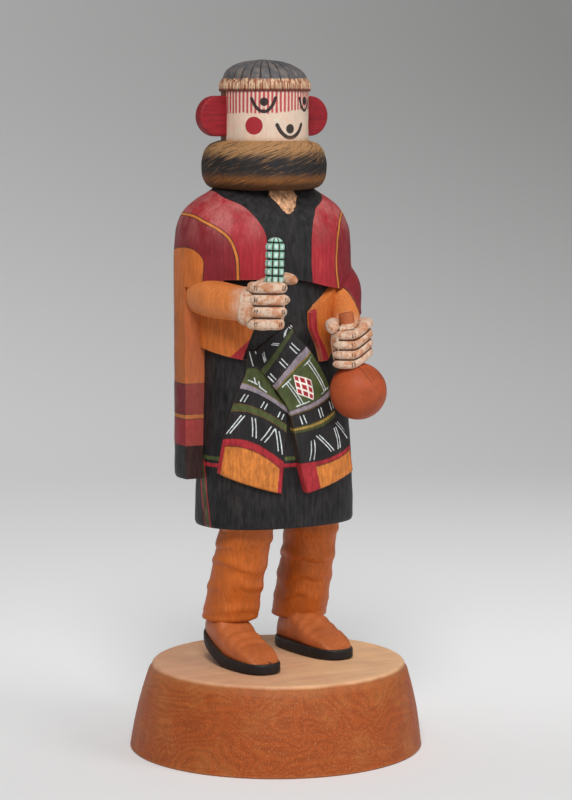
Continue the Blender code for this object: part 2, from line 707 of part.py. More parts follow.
def figure_forms():
    """Every form of the one carved block, apart from the shawl."""
    right_frame = (RIGHT_FIST_CENTRE, RIGHT_FIST_ALONG, RIGHT_FIST_OUT)
    left_frame = (LEFT_FIST_CENTRE, LEFT_FIST_ALONG, LEFT_FIST_OUT)
    right_hand = fingers(RIGHT_FINGERS, RIGHT_FINGER_BEND, RIGHT_KNUCKLE_RISE, RIGHT_FINGER_SIZE)
    left_hand = fingers(LEFT_FINGERS, LEFT_FINGER_BEND, LEFT_KNUCKLE_RISE, LEFT_FINGER_SIZE)
    return [
        tower("dress_form", DRESS, BODY_SIDES),
        tower("ruff_form", RUFF, BODY_SIDES),
        tower("head_form", HEAD, HEAD_SIDES),
        locks("fringe_form", FRINGE),
        locks("cap_form", CAP),
        leg_form("right_leg_form", RIGHT_LEG),
        leg_form("left_leg_form", LEFT_LEG),
        sole_form("right_sole_form", RIGHT_HEEL, RIGHT_TOE, RIGHT_HEEL_LIFT),
        sole_form("left_sole_form", LEFT_HEEL, LEFT_TOE, 0.0),
        shoe_form("right_shoe_form", RIGHT_HEEL, RIGHT_TOE, RIGHT_HEEL_LIFT),
        shoe_form("left_shoe_form", LEFT_HEEL, LEFT_TOE, 0.0),
        limb("right_arm_form", RIGHT_ARM, ARM_SIDES, ARM_ROWS, ARM_SQUARENESS, round_end=False),
        limb("left_arm_form", LEFT_ARM, ARM_SIDES, ARM_ROWS, ARM_SQUARENESS, round_end=False),
        *fist_forms("right", right_frame, RIGHT_PALM, right_hand, RIGHT_THUMB),
        *fist_forms("left", left_frame, LEFT_PALM, left_hand, LEFT_THUMB),
        slab_form("under_sash_form", UNDER_SASH, 5, 8),
        slab_form("upper_sash_form", UPPER_SASH, 5, 10),
        slab_form("right_corner_form", RIGHT_CORNER, 6, 3),
        slab_form("left_corner_form", LEFT_CORNER, 4, 4),
    ]


def seats():
    """Hollows that the ears, the cactus and the rattle sit in."""
    return [
        ear_form("ear_right_seat", -1, SEAT_GAP),
        ear_form("ear_left_seat", 1, SEAT_GAP),
        cactus_seat(),
        rattle_form("rattle_seat", SEAT_GAP),
    ]


def hidden_group(name, objects):
    """Helpers that shape the figure but are not pieces themselves."""
    group = bpy.data.collections.new(name)
    bpy.context.scene.collection.children.link(group)
    for helper in objects:
        group.objects.link(helper)
        helper.hide_render = True
        helper.display_type = "WIRE"
    return group


def figure_solid():
    """The carved block: the shawl opened in front, the other forms, then the seats of what it holds."""
    figure = tower("figure", SHAWL, BODY_SIDES)
    for opening in hidden_group("opening", [shawl_opening()]).objects:
        cut = figure.modifiers.new("open front", "BOOLEAN")
        cut.operation = "DIFFERENCE"
        cut.object = opening
    joined = figure.modifiers.new("join forms", "BOOLEAN")
    joined.operation = "UNION"
    joined.operand_type = "COLLECTION"
    joined.collection = hidden_group("figure forms", figure_forms())
    for seat in hidden_group("seats", seats()).objects:
        cut = figure.modifiers.new(f"cut {seat.name}", "BOOLEAN")
        cut.operation = "DIFFERENCE"
        cut.object = seat
    return figure


def finish(name, colour, roughness):
    """Painted or bare wood."""
    material = bpy.data.materials.new(name)
    material.use_nodes = True
    shader = material.node_tree.nodes["Principled BSDF"]
    shader.inputs["Base Color"].default_value = (*colour, 1.0)
    shader.inputs["Roughness"].default_value = roughness
    shader.inputs["Metallic"].default_value = 0.0
    return material


def place(piece, material):
    bpy.context.scene.collection.objects.link(piece)
    piece.data.materials.append(material)


def main():
    for old in list(bpy.data.objects):
        bpy.data.objects.remove(old)
    place(base_solid(), finish("plinth wood", *PLINTH_WOOD))
    place(figure_solid(), finish("painted figure", *PAINTED_FIGURE))
    ear_red = finish("ear red", *EAR_RED)
    place(ear_form("ear_right", -1, 0.0), ear_red)
    place(ear_form("ear_left", 1, 0.0), ear_red)
    place(cactus_solid(), finish("cactus green", *CACTUS_GREEN))
    place(rattle_form("rattle", 0.0), finish("gourd brown", *GOURD_BROWN))


if __name__ == "__main__":
    main()
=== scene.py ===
"""Finish of a carved and painted wooden kachina doll: relief, paint, wear, light and camera.

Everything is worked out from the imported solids. The carved figure is drawn in units of a share of
its height, above the plinth's top, and each of its forms is a fine skin laid over the solid.
"""

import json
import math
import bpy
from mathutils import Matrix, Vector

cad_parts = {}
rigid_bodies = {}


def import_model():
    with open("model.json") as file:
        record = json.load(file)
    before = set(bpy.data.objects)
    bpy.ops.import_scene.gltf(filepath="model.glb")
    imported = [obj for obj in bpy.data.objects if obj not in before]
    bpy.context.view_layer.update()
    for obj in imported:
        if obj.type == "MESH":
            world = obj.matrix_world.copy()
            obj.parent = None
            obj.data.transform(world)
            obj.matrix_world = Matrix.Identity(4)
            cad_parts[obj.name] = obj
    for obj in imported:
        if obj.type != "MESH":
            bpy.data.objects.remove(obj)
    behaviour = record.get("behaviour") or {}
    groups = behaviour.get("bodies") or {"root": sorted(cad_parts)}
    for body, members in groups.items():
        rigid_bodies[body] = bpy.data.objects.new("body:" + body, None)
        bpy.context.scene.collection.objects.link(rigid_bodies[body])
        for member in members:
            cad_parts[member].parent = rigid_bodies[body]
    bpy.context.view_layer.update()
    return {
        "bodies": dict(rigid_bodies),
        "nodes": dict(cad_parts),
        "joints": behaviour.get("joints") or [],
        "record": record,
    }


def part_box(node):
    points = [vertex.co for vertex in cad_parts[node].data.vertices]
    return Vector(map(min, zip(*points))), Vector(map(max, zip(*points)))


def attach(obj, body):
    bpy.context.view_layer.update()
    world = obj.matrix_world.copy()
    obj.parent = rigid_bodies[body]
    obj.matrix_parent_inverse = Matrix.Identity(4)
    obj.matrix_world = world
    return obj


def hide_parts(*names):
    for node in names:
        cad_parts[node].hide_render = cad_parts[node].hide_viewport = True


bl_info = {
    "name": "Kachina doll finish",
    "version": (1, 0, 0),
    "blender": (4, 5, 0),
    "location": "3D View > Sidebar > Doll",
    "description": "Carved relief and painted finishes for a wooden doll on a plinth",
    "category": "Object",
}

from bisect import bisect_right
from functools import lru_cache

import bmesh
import bpy
import numpy as np
from bpy.props import FloatProperty, FloatVectorProperty, PointerProperty
from mathutils import Vector, noise

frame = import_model()

# Figure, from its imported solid
FIGURE_LOW, FIGURE_HIGH = (Vector(corner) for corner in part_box("figure"))
BASE_LOW, BASE_HIGH = (Vector(corner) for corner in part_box("base"))
DRAWN_HEIGHT = 272.0
UNIT = (FIGURE_HIGH.z - FIGURE_LOW.z) / DRAWN_HEIGHT
MM = 0.001

# Plinth, in metres
BASE_HEIGHT = BASE_HIGH.z
BASE_BOTTOM_RADIUS = (BASE_HIGH.x - BASE_LOW.x) / 2
BASE_TOP_RADIUS = 0.058
BASE_MIDDLE_RADIUS = 0.06
BASE_SIDE_SWELL = 0.0012
BASE_TOP_ROUNDING = 0.0024
BASE_TOP_SHIFT = Vector((0.001, -0.0006, 0.0))

# Places on the figure, in drawn units above the plinth
HEAD_AXIS = (-3.5, 6.0)
HEAD_RADIUS = 19.7
EAR_MIDDLE_HEIGHT = 246.9
EAR_BEHIND_AXIS = 2.2
CACTUS_FOOT = (-24.0, -38.4, 176.5)
CACTUS_LEAN = (0.035, 0.0, 1.0)
GOURD_CENTRE = (22.4, -32.6, 125.0)
HANDLE_LEAN = (-0.14, 0.08, 1.0)

# Ovals of the figure: height, centre x, centre y, half width, half depth, squareness
DRESS = (
    (64, -0.5, 2.7, 36.9, 26.0, 2.3),
    (65.5, -0.5, 2.7, 37.3, 26.5, 2.3),
    (86, -0.5, 2.7, 36.8, 26.0, 2.3),
    (111, -0.8, 3.2, 35.8, 25.0, 2.3),
    (141, -1.5, 4.2, 34.5, 23.5, 2.3),
    (171, -2.5, 5.5, 33.5, 22.0, 2.3),
    (191, -3.5, 6.3, 33.5, 21.0, 2.3),
)
SHAWL = (
    (85.5, -4.0, 6.8, 41.2, 26.1, 2.5),
    (87, -4.0, 6.8, 41.6, 26.5, 2.5),
    (128, -4.0, 6.8, 41.6, 26.5, 2.5),
    (163, -2.8, 6.8, 42.8, 26.5, 2.5),
    (183, -4.0, 6.8, 41.6, 26.5, 2.5),
    (195, -4.0, 6.8, 41.0, 25.6, 2.5),
    (202, -4.2, 7.0, 39.2, 23.5, 2.4),
    (206, -4.2, 7.0, 36.8, 21.5, 2.3),
    (210, -4.2, 7.0, 32.0, 19.0, 2.2),
    (213.5, -4.0, 7.0, 26.0, 16.5, 2.1),
    (218, -3.8, 7.0, 20.0, 14.0, 2.0),
)
RUFF = (
    (214.0, -3.7, 6.2, 19.5, 18.5, 2.0),
    (214.8, -3.7, 6.2, 24.0, 22.8, 2.0),
    (217.0, -3.7, 6.2, 26.8, 25.5, 2.0),
    (221.0, -3.7, 6.2, 28.3, 27.0, 2.0),
    (225.5, -3.7, 6.2, 28.6, 27.2, 2.0),
    (231.0, -3.7, 6.2, 27.4, 26.0, 2.0),
    (234.5, -3.7, 6.2, 24.6, 23.4, 2.0),
    (236.0, -3.7, 6.2, 20.5, 20.0, 2.0),
)
HEAD = (
    (228.0, -3.5, 6.0, 17.5, 17.5, 2.0),
    (236.0, -3.5, 6.0, HEAD_RADIUS, HEAD_RADIUS, 2.0),
    (258.0, -3.5, 6.0, HEAD_RADIUS, HEAD_RADIUS, 2.0),
    (262.0, -3.5, 6.0, 18.0, 18.0, 2.0),
)
FRINGE = (
    (257.6, -3.5, 6.0, 19.2, 19.2, 2.0),
    (258.0, -3.5, 6.0, 20.5, 20.5, 2.0),
    (260.5, -3.5, 6.0, 20.6, 20.6, 2.0),
    (263.6, -3.5, 6.0, 19.2, 19.2, 2.0),
)
CAP = (
    (262.0, -3.5, 6.0, 19.0, 19.0, 2.0),
    (264.2, -3.5, 6.0, 18.7, 18.7, 2.0),
    (267.0, -3.8, 6.1, 17.0, 17.0, 2.0),
    (269.4, -4.1, 6.2, 13.4, 13.4, 2.0),
    (271.2, -4.4, 6.3, 8.0, 8.0, 2.0),
    (272.0, -4.6, 6.4, 1.4, 1.4, 2.0),
)
RIGHT_LEG = (
    (18.7, -19.6, 10.6, 10.6, 10.2, 2.2),
    (19.7, -19.5, 10.4, 12.2, 11.8, 2.2),
    (23.0, -19.4, 9.5, 12.4, 12.3, 2.2),
    (40.0, -18.8, 4.5, 12.3, 12.2, 2.2),
    (64.0, -17.9, -3.0, 12.3, 12.0, 2.2),
    (74.0, -17.6, -5.0, 12.3, 12.0, 2.2),
)
LEFT_LEG = (
    (14.6, 23.3, 21.5, 10.6, 10.4, 2.2),
    (15.6, 23.3, 21.3, 12.2, 12.1, 2.2),
    (21.0, 23.3, 19.7, 12.6, 12.6, 2.2),
    (40.0, 22.9, 14.0, 12.4, 12.3, 2.2),
    (64.0, 22.8, 7.0, 12.2, 11.8, 2.2),
    (74.0, 22.7, 4.0, 12.3, 11.8, 2.2),
)

# Strokes and locks of the hair, and folds of the leggings
HAIR_LOCKS = 26
LOCK_GROOVE_WIDTH = 0.26
CAP_CENTRE = (-3.9, 6.15)
FRINGE_STROKES = 112
RUFF_STROKES = 70
RUFF_STROKES_PER_HEIGHT = 1.09
FOLD_PITCH = 10.5
FOLD_SLANT = 0.16
FOLD_TURN = 60.0

# Shawl: hem over the forearms as x and height, and the x and y of its front edges at the two arms
SHAWL_HEM = (
    (-60, 170.5), (-42, 172), (-36, 175.3), (-18, 175.3), (0, 174.5), (16, 171), (32, 168.5), (60, 166),
)
SHAWL_EDGE_RIGHT = (-42.6, 3.6)
SHAWL_EDGE_LEFT = (38.0, -1.0)
# Its sleeve over the outside of the left forearm. The hem falls by the square of the distance past its turn
SLEEVE_HEM_HEIGHT = 171.0
SLEEVE_HEM_TURN = 27.5
SLEEVE_HEM_FALL = 0.14
SLEEVE_THICKNESS = 0.7

# Borders painted on the shawl, as turn and height, from the back round the right shoulder to the hem
# in front, then up from the hem round the left shoulder
YOKE_BORDER = (
    ((-270, 213.8), (-215, 213.7), (-175, 213.6), (-144, 210.8), (-122.9, 207.8), (-112, 203.6),
     (-106.8, 199.7), (-103.3, 194.7), (-102.7, 186), (-102.9, 165)),
    ((-80.3, 165), (-80.3, 175), (-80.1, 185.1), (-78.5, 196.4), (-70.5, 204.2), (-61.1, 207.4),
     (-30.3, 212.1), (0, 213.6), (45, 213.7), (90, 213.8)),
)
PIPING = (
    ((-270, 203.6), (-215, 203.5), (-173.9, 203.4), (-150.5, 200.1), (-136.7, 196.6), (-129.1, 192.8),
     (-125.2, 187.7), (-123.2, 181.5), (-123.5, 165)),
    ((-59.4, 165), (-59.2, 178.8), (-58.1, 186.8), (-53.5, 195.9), (-40.4, 201.9), (-21, 204.2), (0, 204.0),
     (45, 203.7), (90, 203.6)),
)
FIELD_BORDER = (
    ((-270, 187.3), (-211.9, 187.3), (-180, 189.1), (-168.4, 188.9), (-159.1, 186.9), (-153.9, 184.2),
     (-152.6, 180.8), (-153.7, 175.8), (-155.1, 165)),
    ((-27.9, 165), (-29.3, 175.8), (-30.4, 180.8), (-29.1, 184.2), (-23.9, 186.9), (-14.6, 188.9),
     (-3, 189.1), (28.9, 187.3), (90, 187.3)),
)
PIPING_WIDTH = 1.5
PANEL_BANDS = (128.3, 114.6, 112.5, 100.4)
NECK_OPENING = ((-102.3, 212.3), (-94.8, 208.5), (-89.2, 203.6), (-80.9, 209.3), (-76, 211.5))

# Feet: plan of the sole, and the height of the shoe from heel to toe
SOLE_THICKNESS = 4.6
SOLE_WELT = 0.8
HEEL_HALF_WIDTH = 8.6
BALL_EXTRA_WIDTH = 1.9
FOOT_SQUARENESS = 2.5
HEEL_LIFT_SHARE = 0.5
HEEL_LIFT_CURVE = 1.2
SHOE_DEPTH_IN_SOLE = 1.9
SHOE_END_ROUNDNESS = 6.0
SHOE_END_HEIGHT = 0.5
SHOE_SQUARENESS = 2.8
SHOE_TOPS = ((0.0, 12.0), (0.12, 19.0), (0.35, 20.0), (0.5, 16.5), (0.68, 12.0), (0.85, 9.6), (1.0, 6.0))
FEET = {
    "right": ((-22.8, 22.0), (-20.0, -28.0), 9.0),
    "left": ((20.0, 31.5), (25.0, -17.0), 0.0),
}

# Arms and fists: x, y, height, half width, half height
RIGHT_ARM = (
    (-37.5, 2.0, 168.0, 8.0, 8.6),
    (-37.8, -8.0, 167.0, 8.0, 8.4),
    (-35.8, -18.0, 166.2, 7.6, 8.0),
    (-33.0, -26.0, 165.6, 7.0, 7.6),
    (-30.0, -31.5, 165.0, 6.6, 8.4),
)
LEFT_ARM = (
    (32.5, 4.0, 174.0, 7.5, 8.0),
    (30.4, -7.0, 168.5, 7.0, 7.8),
    (25.8, -16.0, 161.0, 6.5, 6.8),
    (22.0, -23.5, 153.5, 6.2, 6.4),
    (20.0, -27.5, 149.0, 6.6, 7.0),
)
ARM_SQUARENESS = 2.3
FIST_SQUARENESS = 2.6
THUMB_SQUARENESS = 2.1
RIGHT_FIST = ((-27.0, -36.5, 165.0), (0.8, -0.6, 0.0), (-0.6, -0.8, 0.0))
LEFT_FIST = ((18.8, -30.4, 146.0), (-1.0, 0.0, 0.0), (0.0, -1.0, 0.0))

# In a fist's own directions: along the fingers, outwards, up, half depth, half height
RIGHT_PALM = (
    (-11.0, 0.5, 0.5, 5.6, 7.2),
    (-7.0, 0.5, 0.0, 6.4, 9.2),
    (-2.0, -0.2, 0.0, 6.2, 10.6),
    (4.0, -1.4, 0.2, 5.2, 10.2),
    (8.0, -2.0, 0.4, 3.6, 8.4),
)
# Fingers: height and how far the tip reaches. Bend: along, out, shares of the knuckle's rise and of the depth
RIGHT_FINGERS = ((8.4, 9.8), (3.2, 11.0), (-2.0, 9.6), (-7.3, 8.4))
RIGHT_FINGER_SIZE = (3.3, 2.5)
RIGHT_FINGER_BEND = (
    (-6.0, 2.6, 0.0, 0.9), (-2.5, 5.0, 0.0, 1.0), (4.0, 5.6, 0.0, 1.0), (0.0, 3.6, 0.0, 0.9),
)
RIGHT_THUMB = (
    (-5.0, -5.5, 7.0, 3.2, 3.2),
    (2.0, -6.4, 10.4, 3.0, 3.0),
    (8.0, -5.0, 11.8, 2.8, 2.7),
    (13.5, -2.0, 10.8, 2.0, 2.0),
)
LEFT_PALM = (
    (8.2, 1.5, -1.5, 2.5, 7.0),
    (5.0, 1.0, -1.0, 4.8, 9.6),
    (0.0, 0.5, 0.0, 6.2, 9.8),
    (-5.0, -0.5, 1.5, 5.8, 9.4),
    (-9.0, -1.8, 3.5, 4.0, 7.4),
)
LEFT_FINGERS = ((4.6, 8.6), (0.2, 8.6), (-4.2, 8.6), (-8.4, 8.6))
LEFT_FINGER_SIZE = (3.0, 2.1)
LEFT_FINGER_BEND = (
    (-9.4, -1.5, 1.14, 1.0), (-7.0, 3.2, 1.0, 1.0), (2.4, 5.6, 0.0, 1.0), (0.0, 0.2, 0.0, 0.9),
)
LEFT_KNUCKLE_RISE = 4.4
LEFT_THUMB = (
    (2.0, -6.0, 8.0, 3.2, 3.0),
    (7.0, -2.6, 8.8, 3.3, 3.1),
    (9.8, 3.4, 6.6, 2.6, 2.6),
)
# Marks painted across the knuckles, and the thumb's nail
TICK_HALF_WIDTH = 0.28
TICK_HALF_HEIGHT = 0.9
TICK_SLANT = 0.12
THUMB_NAIL_RADIUS = 2.2

# Sash ends, from the knot down: turn and height of each edge, and how far they stand off the dress
UNDER_SASH = (
    (-127.3, 144.6, -115.4, 143.7, 1.0),
    (-129.4, 134.5, -107.3, 125.9, 2.0),
    (-134.1, 128.7, -98.9, 117.2, 2.4),
    (-142.5, 119.0, -99.7, 110.1, 2.4),
    (-151.8, 104.2, -102.2, 96.7, 2.4),
    (-158.0, 89.3, -104.8, 80.1, 2.4),
)
UPPER_SASH = (
    (-131.3, 140.0, -90.6, 156.5, 0.8),
    (-116.3, 134.2, -92.5, 153.0, 2.4),
    (-109.0, 128.3, -86.4, 145.2, 3.8),
    (-106.8, 126.3, -84.1, 142.5, 4.3),
    (-99.4, 117.5, -72.6, 126.8, 4.6),
    (-96.8, 108.5, -69.0, 115.4, 4.6),
    (-93.9, 93.7, -55.1, 100.2, 4.6),
    (-90.0, 80.0, -52.5, 87.4, 4.6),
)
# Corners of the shawl's lining that hang below the forearms, in the same way
RIGHT_CORNER = (
    (-184.0, 166.0, -112.0, 164.0, 2.6),
    (-182.0, 152.0, -124.0, 150.0, 2.6),
    (-180.4, 144.8, -132.3, 139.8, 2.6),
)
LEFT_CORNER = (
    (-80.3, 160.0, -34.0, 178.0, 2.6),
    (-80.6, 153.9, -36.0, 160.0, 2.6),
    (-75.2, 143.5, -62.0, 143.0, 2.6),
    (-73.4, 137.7, -69.0, 138.0, 2.6),
)
SLAB_DEPTH = 8.0
SLAB_ROUNDING = 0.7

# Cactus and rattle, in metres
CACTUS_RADIUS = 0.0041
CACTUS_LENGTH = 0.0184
CACTUS_SET_IN = 0.0075
CACTUS_RIBS = 8
CACTUS_JOINT_PITCH = 0.0036
CACTUS_TOP_JOINT = 0.0022
GOURD_RADIUS = 0.0128
HANDLE_RADIUS = 0.0034
HANDLE_ABOVE_GOURD = 0.0355
HANDLE_END_CHAMFER = 0.0006

# Ears, in metres
EAR_HALF_HEIGHT = 0.009
EAR_THICKNESS = 0.0055
EAR_SHOWING_LENGTH = 0.0132
EAR_SET_IN = 0.002
EAR_ROUNDING = 0.0009

# Face, in arc lengths round the head from its front, and heights. Bowls have the line's width, left end,
# foot and right end, and round spots their radius
FACE_BOWLS = (
    (1.5, (-16.0, 254.6), (-10.5, 248.9), (-5.3, 254.9)),
    (1.4, (7.6, 254.8), (11.8, 249.4), (16.4, 254.8)),
    (1.75, (-4.6, 243.0), (1.9, 237.4), (8.9, 243.2)),
)
PUPILS_AND_TONGUE = ((-10.4, 253.2, 1.9), (12.0, 253.6, 1.9), (1.86, 241.3, 2.15))
EYE_LIGHT = (-10.7, 250.9, 0.75)
CHEEKS = ((-15.0, 242.7, 3.95), (21.5, 242.7, 3.95))

# Crack in the gourd: turn round the handle, and distance along it in mm
GOURD_CRACK = ((1.32, 11.4), (1.42, 10), (1.5, 8), (1.58, 5), (1.72, 1), (1.85, -3.5))

# Wood under worn paint
BARE_WOOD = (0.50, 0.26, 0.12)
BARE_SHAWL = (0.44, 0.13, 0.09)
BARE_DRESS = (0.16, 0.10, 0.07)
BARE_SOLE = (0.18, 0.10, 0.06)
BARE_EAR = (0.45, 0.10, 0.09)
# Plinth: side, then top with painted light, darker at the left and lighter at the right, then the worn rim
SIDE_PATCH = (0.42, 0.138, 0.034)
SIDE_PORE = (0.56, 0.26, 0.085)
SIDE_UNDER_RIM = (0.50, 0.20, 0.07)
TOP_SHADED_LEFT_TONE = (0.66, 0.345, 0.20)
TOP_LIT_RIGHT_TONE = (0.82, 0.49, 0.265)
RIM_TONE = (0.62, 0.33, 0.15)
# Shawl, dress and sash
WORN_RED = (0.47, 0.17, 0.15)
NECK_WOOD = (0.53, 0.285, 0.155)
SEAM_TONE = (0.012, 0.008, 0.008)
BORDER_LINE = (0.022, 0.011, 0.009)
DARK_OLIVE = (0.075, 0.065, 0.028)
PALE_CELL = (0.80, 0.72, 0.66)
# Hands
HAND_WOOD = (0.50, 0.20, 0.09)
HAND_PORE = (0.22, 0.085, 0.045)
NAIL_TONE = (0.42, 0.15, 0.06)
FINGER_CREASE_SHADE = (0.05, 0.018, 0.010)
KNUCKLE_TICK = (0.05, 0.02, 0.012)
FINGER_HIGHLIGHT = (0.74, 0.58, 0.46)
# Ruff
RUFF_DARK = (0.020, 0.019, 0.021)
RUFF_BROWN = (0.24, 0.088, 0.020)
RUFF_GOLD = (0.38, 0.18, 0.058)
RUFF_GAP = (0.022, 0.015, 0.012)
RUFF_FOOT = (0.06, 0.026, 0.012)
RUFF_RIDGE = (0.50, 0.31, 0.16)
RUFF_GROOVE = (0.014, 0.010, 0.009)
# Face
FLUSH = (0.66, 0.38, 0.27)
GREEN_TINGE = (0.58, 0.66, 0.50)
STRIPE_RED = (0.42, 0.035, 0.055)
INK = (0.020, 0.016, 0.016)
CHIN_SHADE = (0.42, 0.20, 0.08)
BACK_OF_HEAD = (0.20, 0.062, 0.020)
# Hair
CAP_PATCH = (0.21, 0.17, 0.145)
FRINGE_DARK = (0.27, 0.08, 0.036)
FRINGE_LIGHT = (0.60, 0.40, 0.25)
FRINGE_RIDGE = (0.72, 0.55, 0.40)
FRINGE_GROOVE = (0.12, 0.025, 0.016)
FRINGE_FOOT_SHADOW = (0.10, 0.012, 0.012)
LOCK_LINE_TONE = (0.018, 0.010, 0.010)
# Leggings, cactus and rattle
DEEP_STAIN = (0.34, 0.085, 0.02)
CACTUS_DEEP = (0.085, 0.30, 0.21)
CACTUS_CELL_HIGHLIGHT = (0.76, 0.82, 0.76)
CACTUS_RIB_LINE = (0.13, 0.035, 0.016)
CACTUS_JOINT_LINE = (0.018, 0.012, 0.012)
GOURD_DEEP = (0.22, 0.042, 0.014)
GOURD_SPECK = (0.55, 0.20, 0.09)
HANDLE_WOOD = (0.40, 0.11, 0.04)
CRACK_TONE = (0.05, 0.014, 0.008)
# Studio paper, with painted shade and a painted glow
PAPER_SHADE = (0.44, 0.44, 0.435)
PAPER_GLOW = (0.085, 0.085, 0.085)

# Strength of the reflection on dry paint
SHEEN = 0.22

# Studio, in metres. Lamps: across, away towards the camera and up, then width
SWEEP_HALF_WIDTH = 4.0
SWEEP_HALF_LENGTH = 2.2
SWEEP_RADIUS = 0.9
SWEEP_FLAT_LENGTH = 0.9
KEY_LAMP = ((0.0, 1.15, 1.3), 0.7)
FILL_LAMP = ((1.25, 0.75, 0.8), 0.9)
LAMP_AIM = Vector((0.0, 0.0, 0.15))
SENSOR_WIDTH = 36

# Camera, from the photograph
CAMERA_TURN = math.radians(-30)
CAMERA_DISTANCE = 1.170
CAMERA_HEIGHT = 0.2896
CAMERA_PITCH = math.radians(6.4)
CAMERA_SIDE_STEP = 0.0047
FOCAL_LENGTH_IN_PIXELS = 2600
PHOTO_HEIGHT_IN_PIXELS = 800
LENS_PER_WIDTH = FOCAL_LENGTH_IN_PIXELS / PHOTO_HEIGHT_IN_PIXELS


class DollRelief(bpy.types.PropertyGroup):
    """How deep the carving and the tool marks go."""

    tool_marks: FloatProperty(
        name="Tool marks", description="Unevenness that the knife leaves on every form",
        default=0.00018, unit="LENGTH",
    )
    hair_stroke: FloatProperty(
        name="Hair strokes", description="Depth of the strokes in the ruff and the fringe",
        default=0.0005, unit="LENGTH",
    )
    hair_groove: FloatProperty(
        name="Hair grooves", description="Depth of the grooves down the cap of hair",
        default=0.0006, unit="LENGTH",
    )
    fold: FloatProperty(
        name="Folds", description="Depth of the folds in the leggings and the shoes",
        default=0.00045, unit="LENGTH",
    )
    finger_blend: FloatProperty(
        name="Hand fineness", description="Size of the cells that the hands are carved in",
        default=0.00035, unit="LENGTH",
    )


def colour_property(name, description, default):
    """Linear colour of a paint or a stain."""
    return FloatVectorProperty(
        name=name, description=description, default=default, subtype="COLOR", size=3, min=0.0, max=1.0
    )


class DollColours(bpy.types.PropertyGroup):
    """Paints and stains."""

    red: colour_property("Red", "Shawl and borders", (0.33, 0.020, 0.028))
    ear: colour_property("Ear", "Ears", (0.23, 0.009, 0.015))
    plum: colour_property("Plum", "Lower part of the shawl's yoke", (0.195, 0.015, 0.021))
    orange: colour_property("Orange", "Field of the shawl and its lining", (0.52, 0.135, 0.026))
    yellow: colour_property("Yellow", "Fringe of the sash and the piping", (0.55, 0.175, 0.034))
    black: colour_property("Black", "Dress, border and soles", (0.0155, 0.014, 0.0145))
    green: colour_property("Green", "Sash", (0.060, 0.076, 0.024))
    mauve: colour_property("Mauve", "Stripes of the sash", (0.25, 0.205, 0.235))
    ochre: colour_property("Ochre", "Narrow stripes of the sash", (0.30, 0.20, 0.045))
    white: colour_property("White", "Strokes on the sash", (0.66, 0.70, 0.70))
    cream: colour_property("Cream", "Face", (0.67, 0.515, 0.405))
    skin: colour_property("Skin", "Arms and neck", (0.60, 0.18, 0.045))
    bone: colour_property("Bone", "Hands", (0.66, 0.48, 0.36))
    slate: colour_property("Slate", "Cap of hair", (0.105, 0.10, 0.103))
    tan: colour_property("Tan", "Ruff and fringe", (0.36, 0.19, 0.08))
    stain: colour_property("Stain", "Leggings", (0.49, 0.112, 0.015))
    leather: colour_property("Leather", "Moccasins", (0.44, 0.115, 0.032))
    mint: colour_property("Mint", "Cactus", (0.27, 0.50, 0.40))
    gourd: colour_property("Gourd", "Rattle", (0.41, 0.078, 0.024))
    plinth: colour_property("Plinth", "Wood of the plinth", (0.34, 0.068, 0.012))
    floor: colour_property("Floor", "Studio floor", (0.83, 0.83, 0.83))


class StudioLight(bpy.types.PropertyGroup):
    """Soft light round the doll."""

    key: FloatProperty(
        name="Key light", description="Power of the large soft light above the camera",
        default=19.5, unit="POWER",
    )
    fill: FloatProperty(
        name="Fill light", description="Power of the soft light at the right", default=6.5, unit="POWER"
    )
    room: FloatProperty(name="Room light", description="Strength of the even light all round", default=0.25)


@lru_cache(maxsize=None)
def blended(stations, key):
    """Values at a key between stations, on a cubic that never swings past them."""
    keys = [station[0] for station in stations]
    last = len(stations) - 1
    at = min(max(bisect_right(keys, key) - 1, 0), last - 1)
    span = keys[at + 1] - keys[at]
    t = min(max((key - keys[at]) / span, 0.0), 1.0)
    values = []
    for column in range(1, len(stations[0])):
        here, after = stations[at][column], stations[at + 1][column]
        rise = (after - here) / span
        before_rise = after_rise = rise
        if at > 0:
            before_rise = (here - stations[at - 1][column]) / (keys[at] - keys[at - 1])
        if at + 2 <= last:
            after_rise = (stations[at + 2][column] - after) / (keys[at + 2] - keys[at + 1])
        start = mean_slope(before_rise, rise) * span
        end = mean_slope(rise, after_rise) * span
        values.append(
            here * (2 * t**3 - 3 * t**2 + 1)
            + start * (t**3 - 2 * t**2 + t)
            + after * (3 * t**2 - 2 * t**3)
            + end * (t**3 - t**2)
        )
    return tuple(values)


def mean_slope(first, second):
    """Slope shared by two neighbouring stretches, level where they turn round."""
    if first * second <= 0:
        return 0.0
    return 2 * first * second / (first + second)


def drawn(x, y, height):
    """Place on the figure, from drawn units above the plinth to metres."""
    return BASE_TOP_SHIFT + Vector((x * UNIT, y * UNIT, height * UNIT + FIGURE_LOW.z))


def signed_power(value, power):
    return math.copysign(abs(value) ** power, value)


def oval_point(stations, turn, height, rise=0.0):
    """Point of a stack of ovals at a turn in degrees, where -90 is the front."""
    x, y, half_width, half_depth, squareness = blended(stations, height)
    angle = math.radians(turn)
    power = 2 / squareness
    return (
        x + (half_width + rise) * signed_power(math.cos(angle), power),
        y + (half_depth + rise) * signed_power(math.sin(angle), power),
        height,
    )


def unevenness(x, y, z, scale, seed=0.0):
    """Smooth noise from -1 to 1 that varies over about `scale` drawn units."""
    return noise.noise(Vector((x / scale + seed, y / scale - seed, z / scale + 2 * seed)))


def ring(radius, angle):
    """Place on a circle, for noise that goes round a form without a seam."""
    return radius * math.cos(angle), radius * math.sin(angle)


def between(low, high, value):
    """Smooth step from 0 at low to 1 at high."""
    t = min(max((value - low) / (high - low), 0.0), 1.0)
    return t * t * (3 - 2 * t)


def even(low, high, count):
    return [low + (high - low) * step / count for step in range(count + 1)]


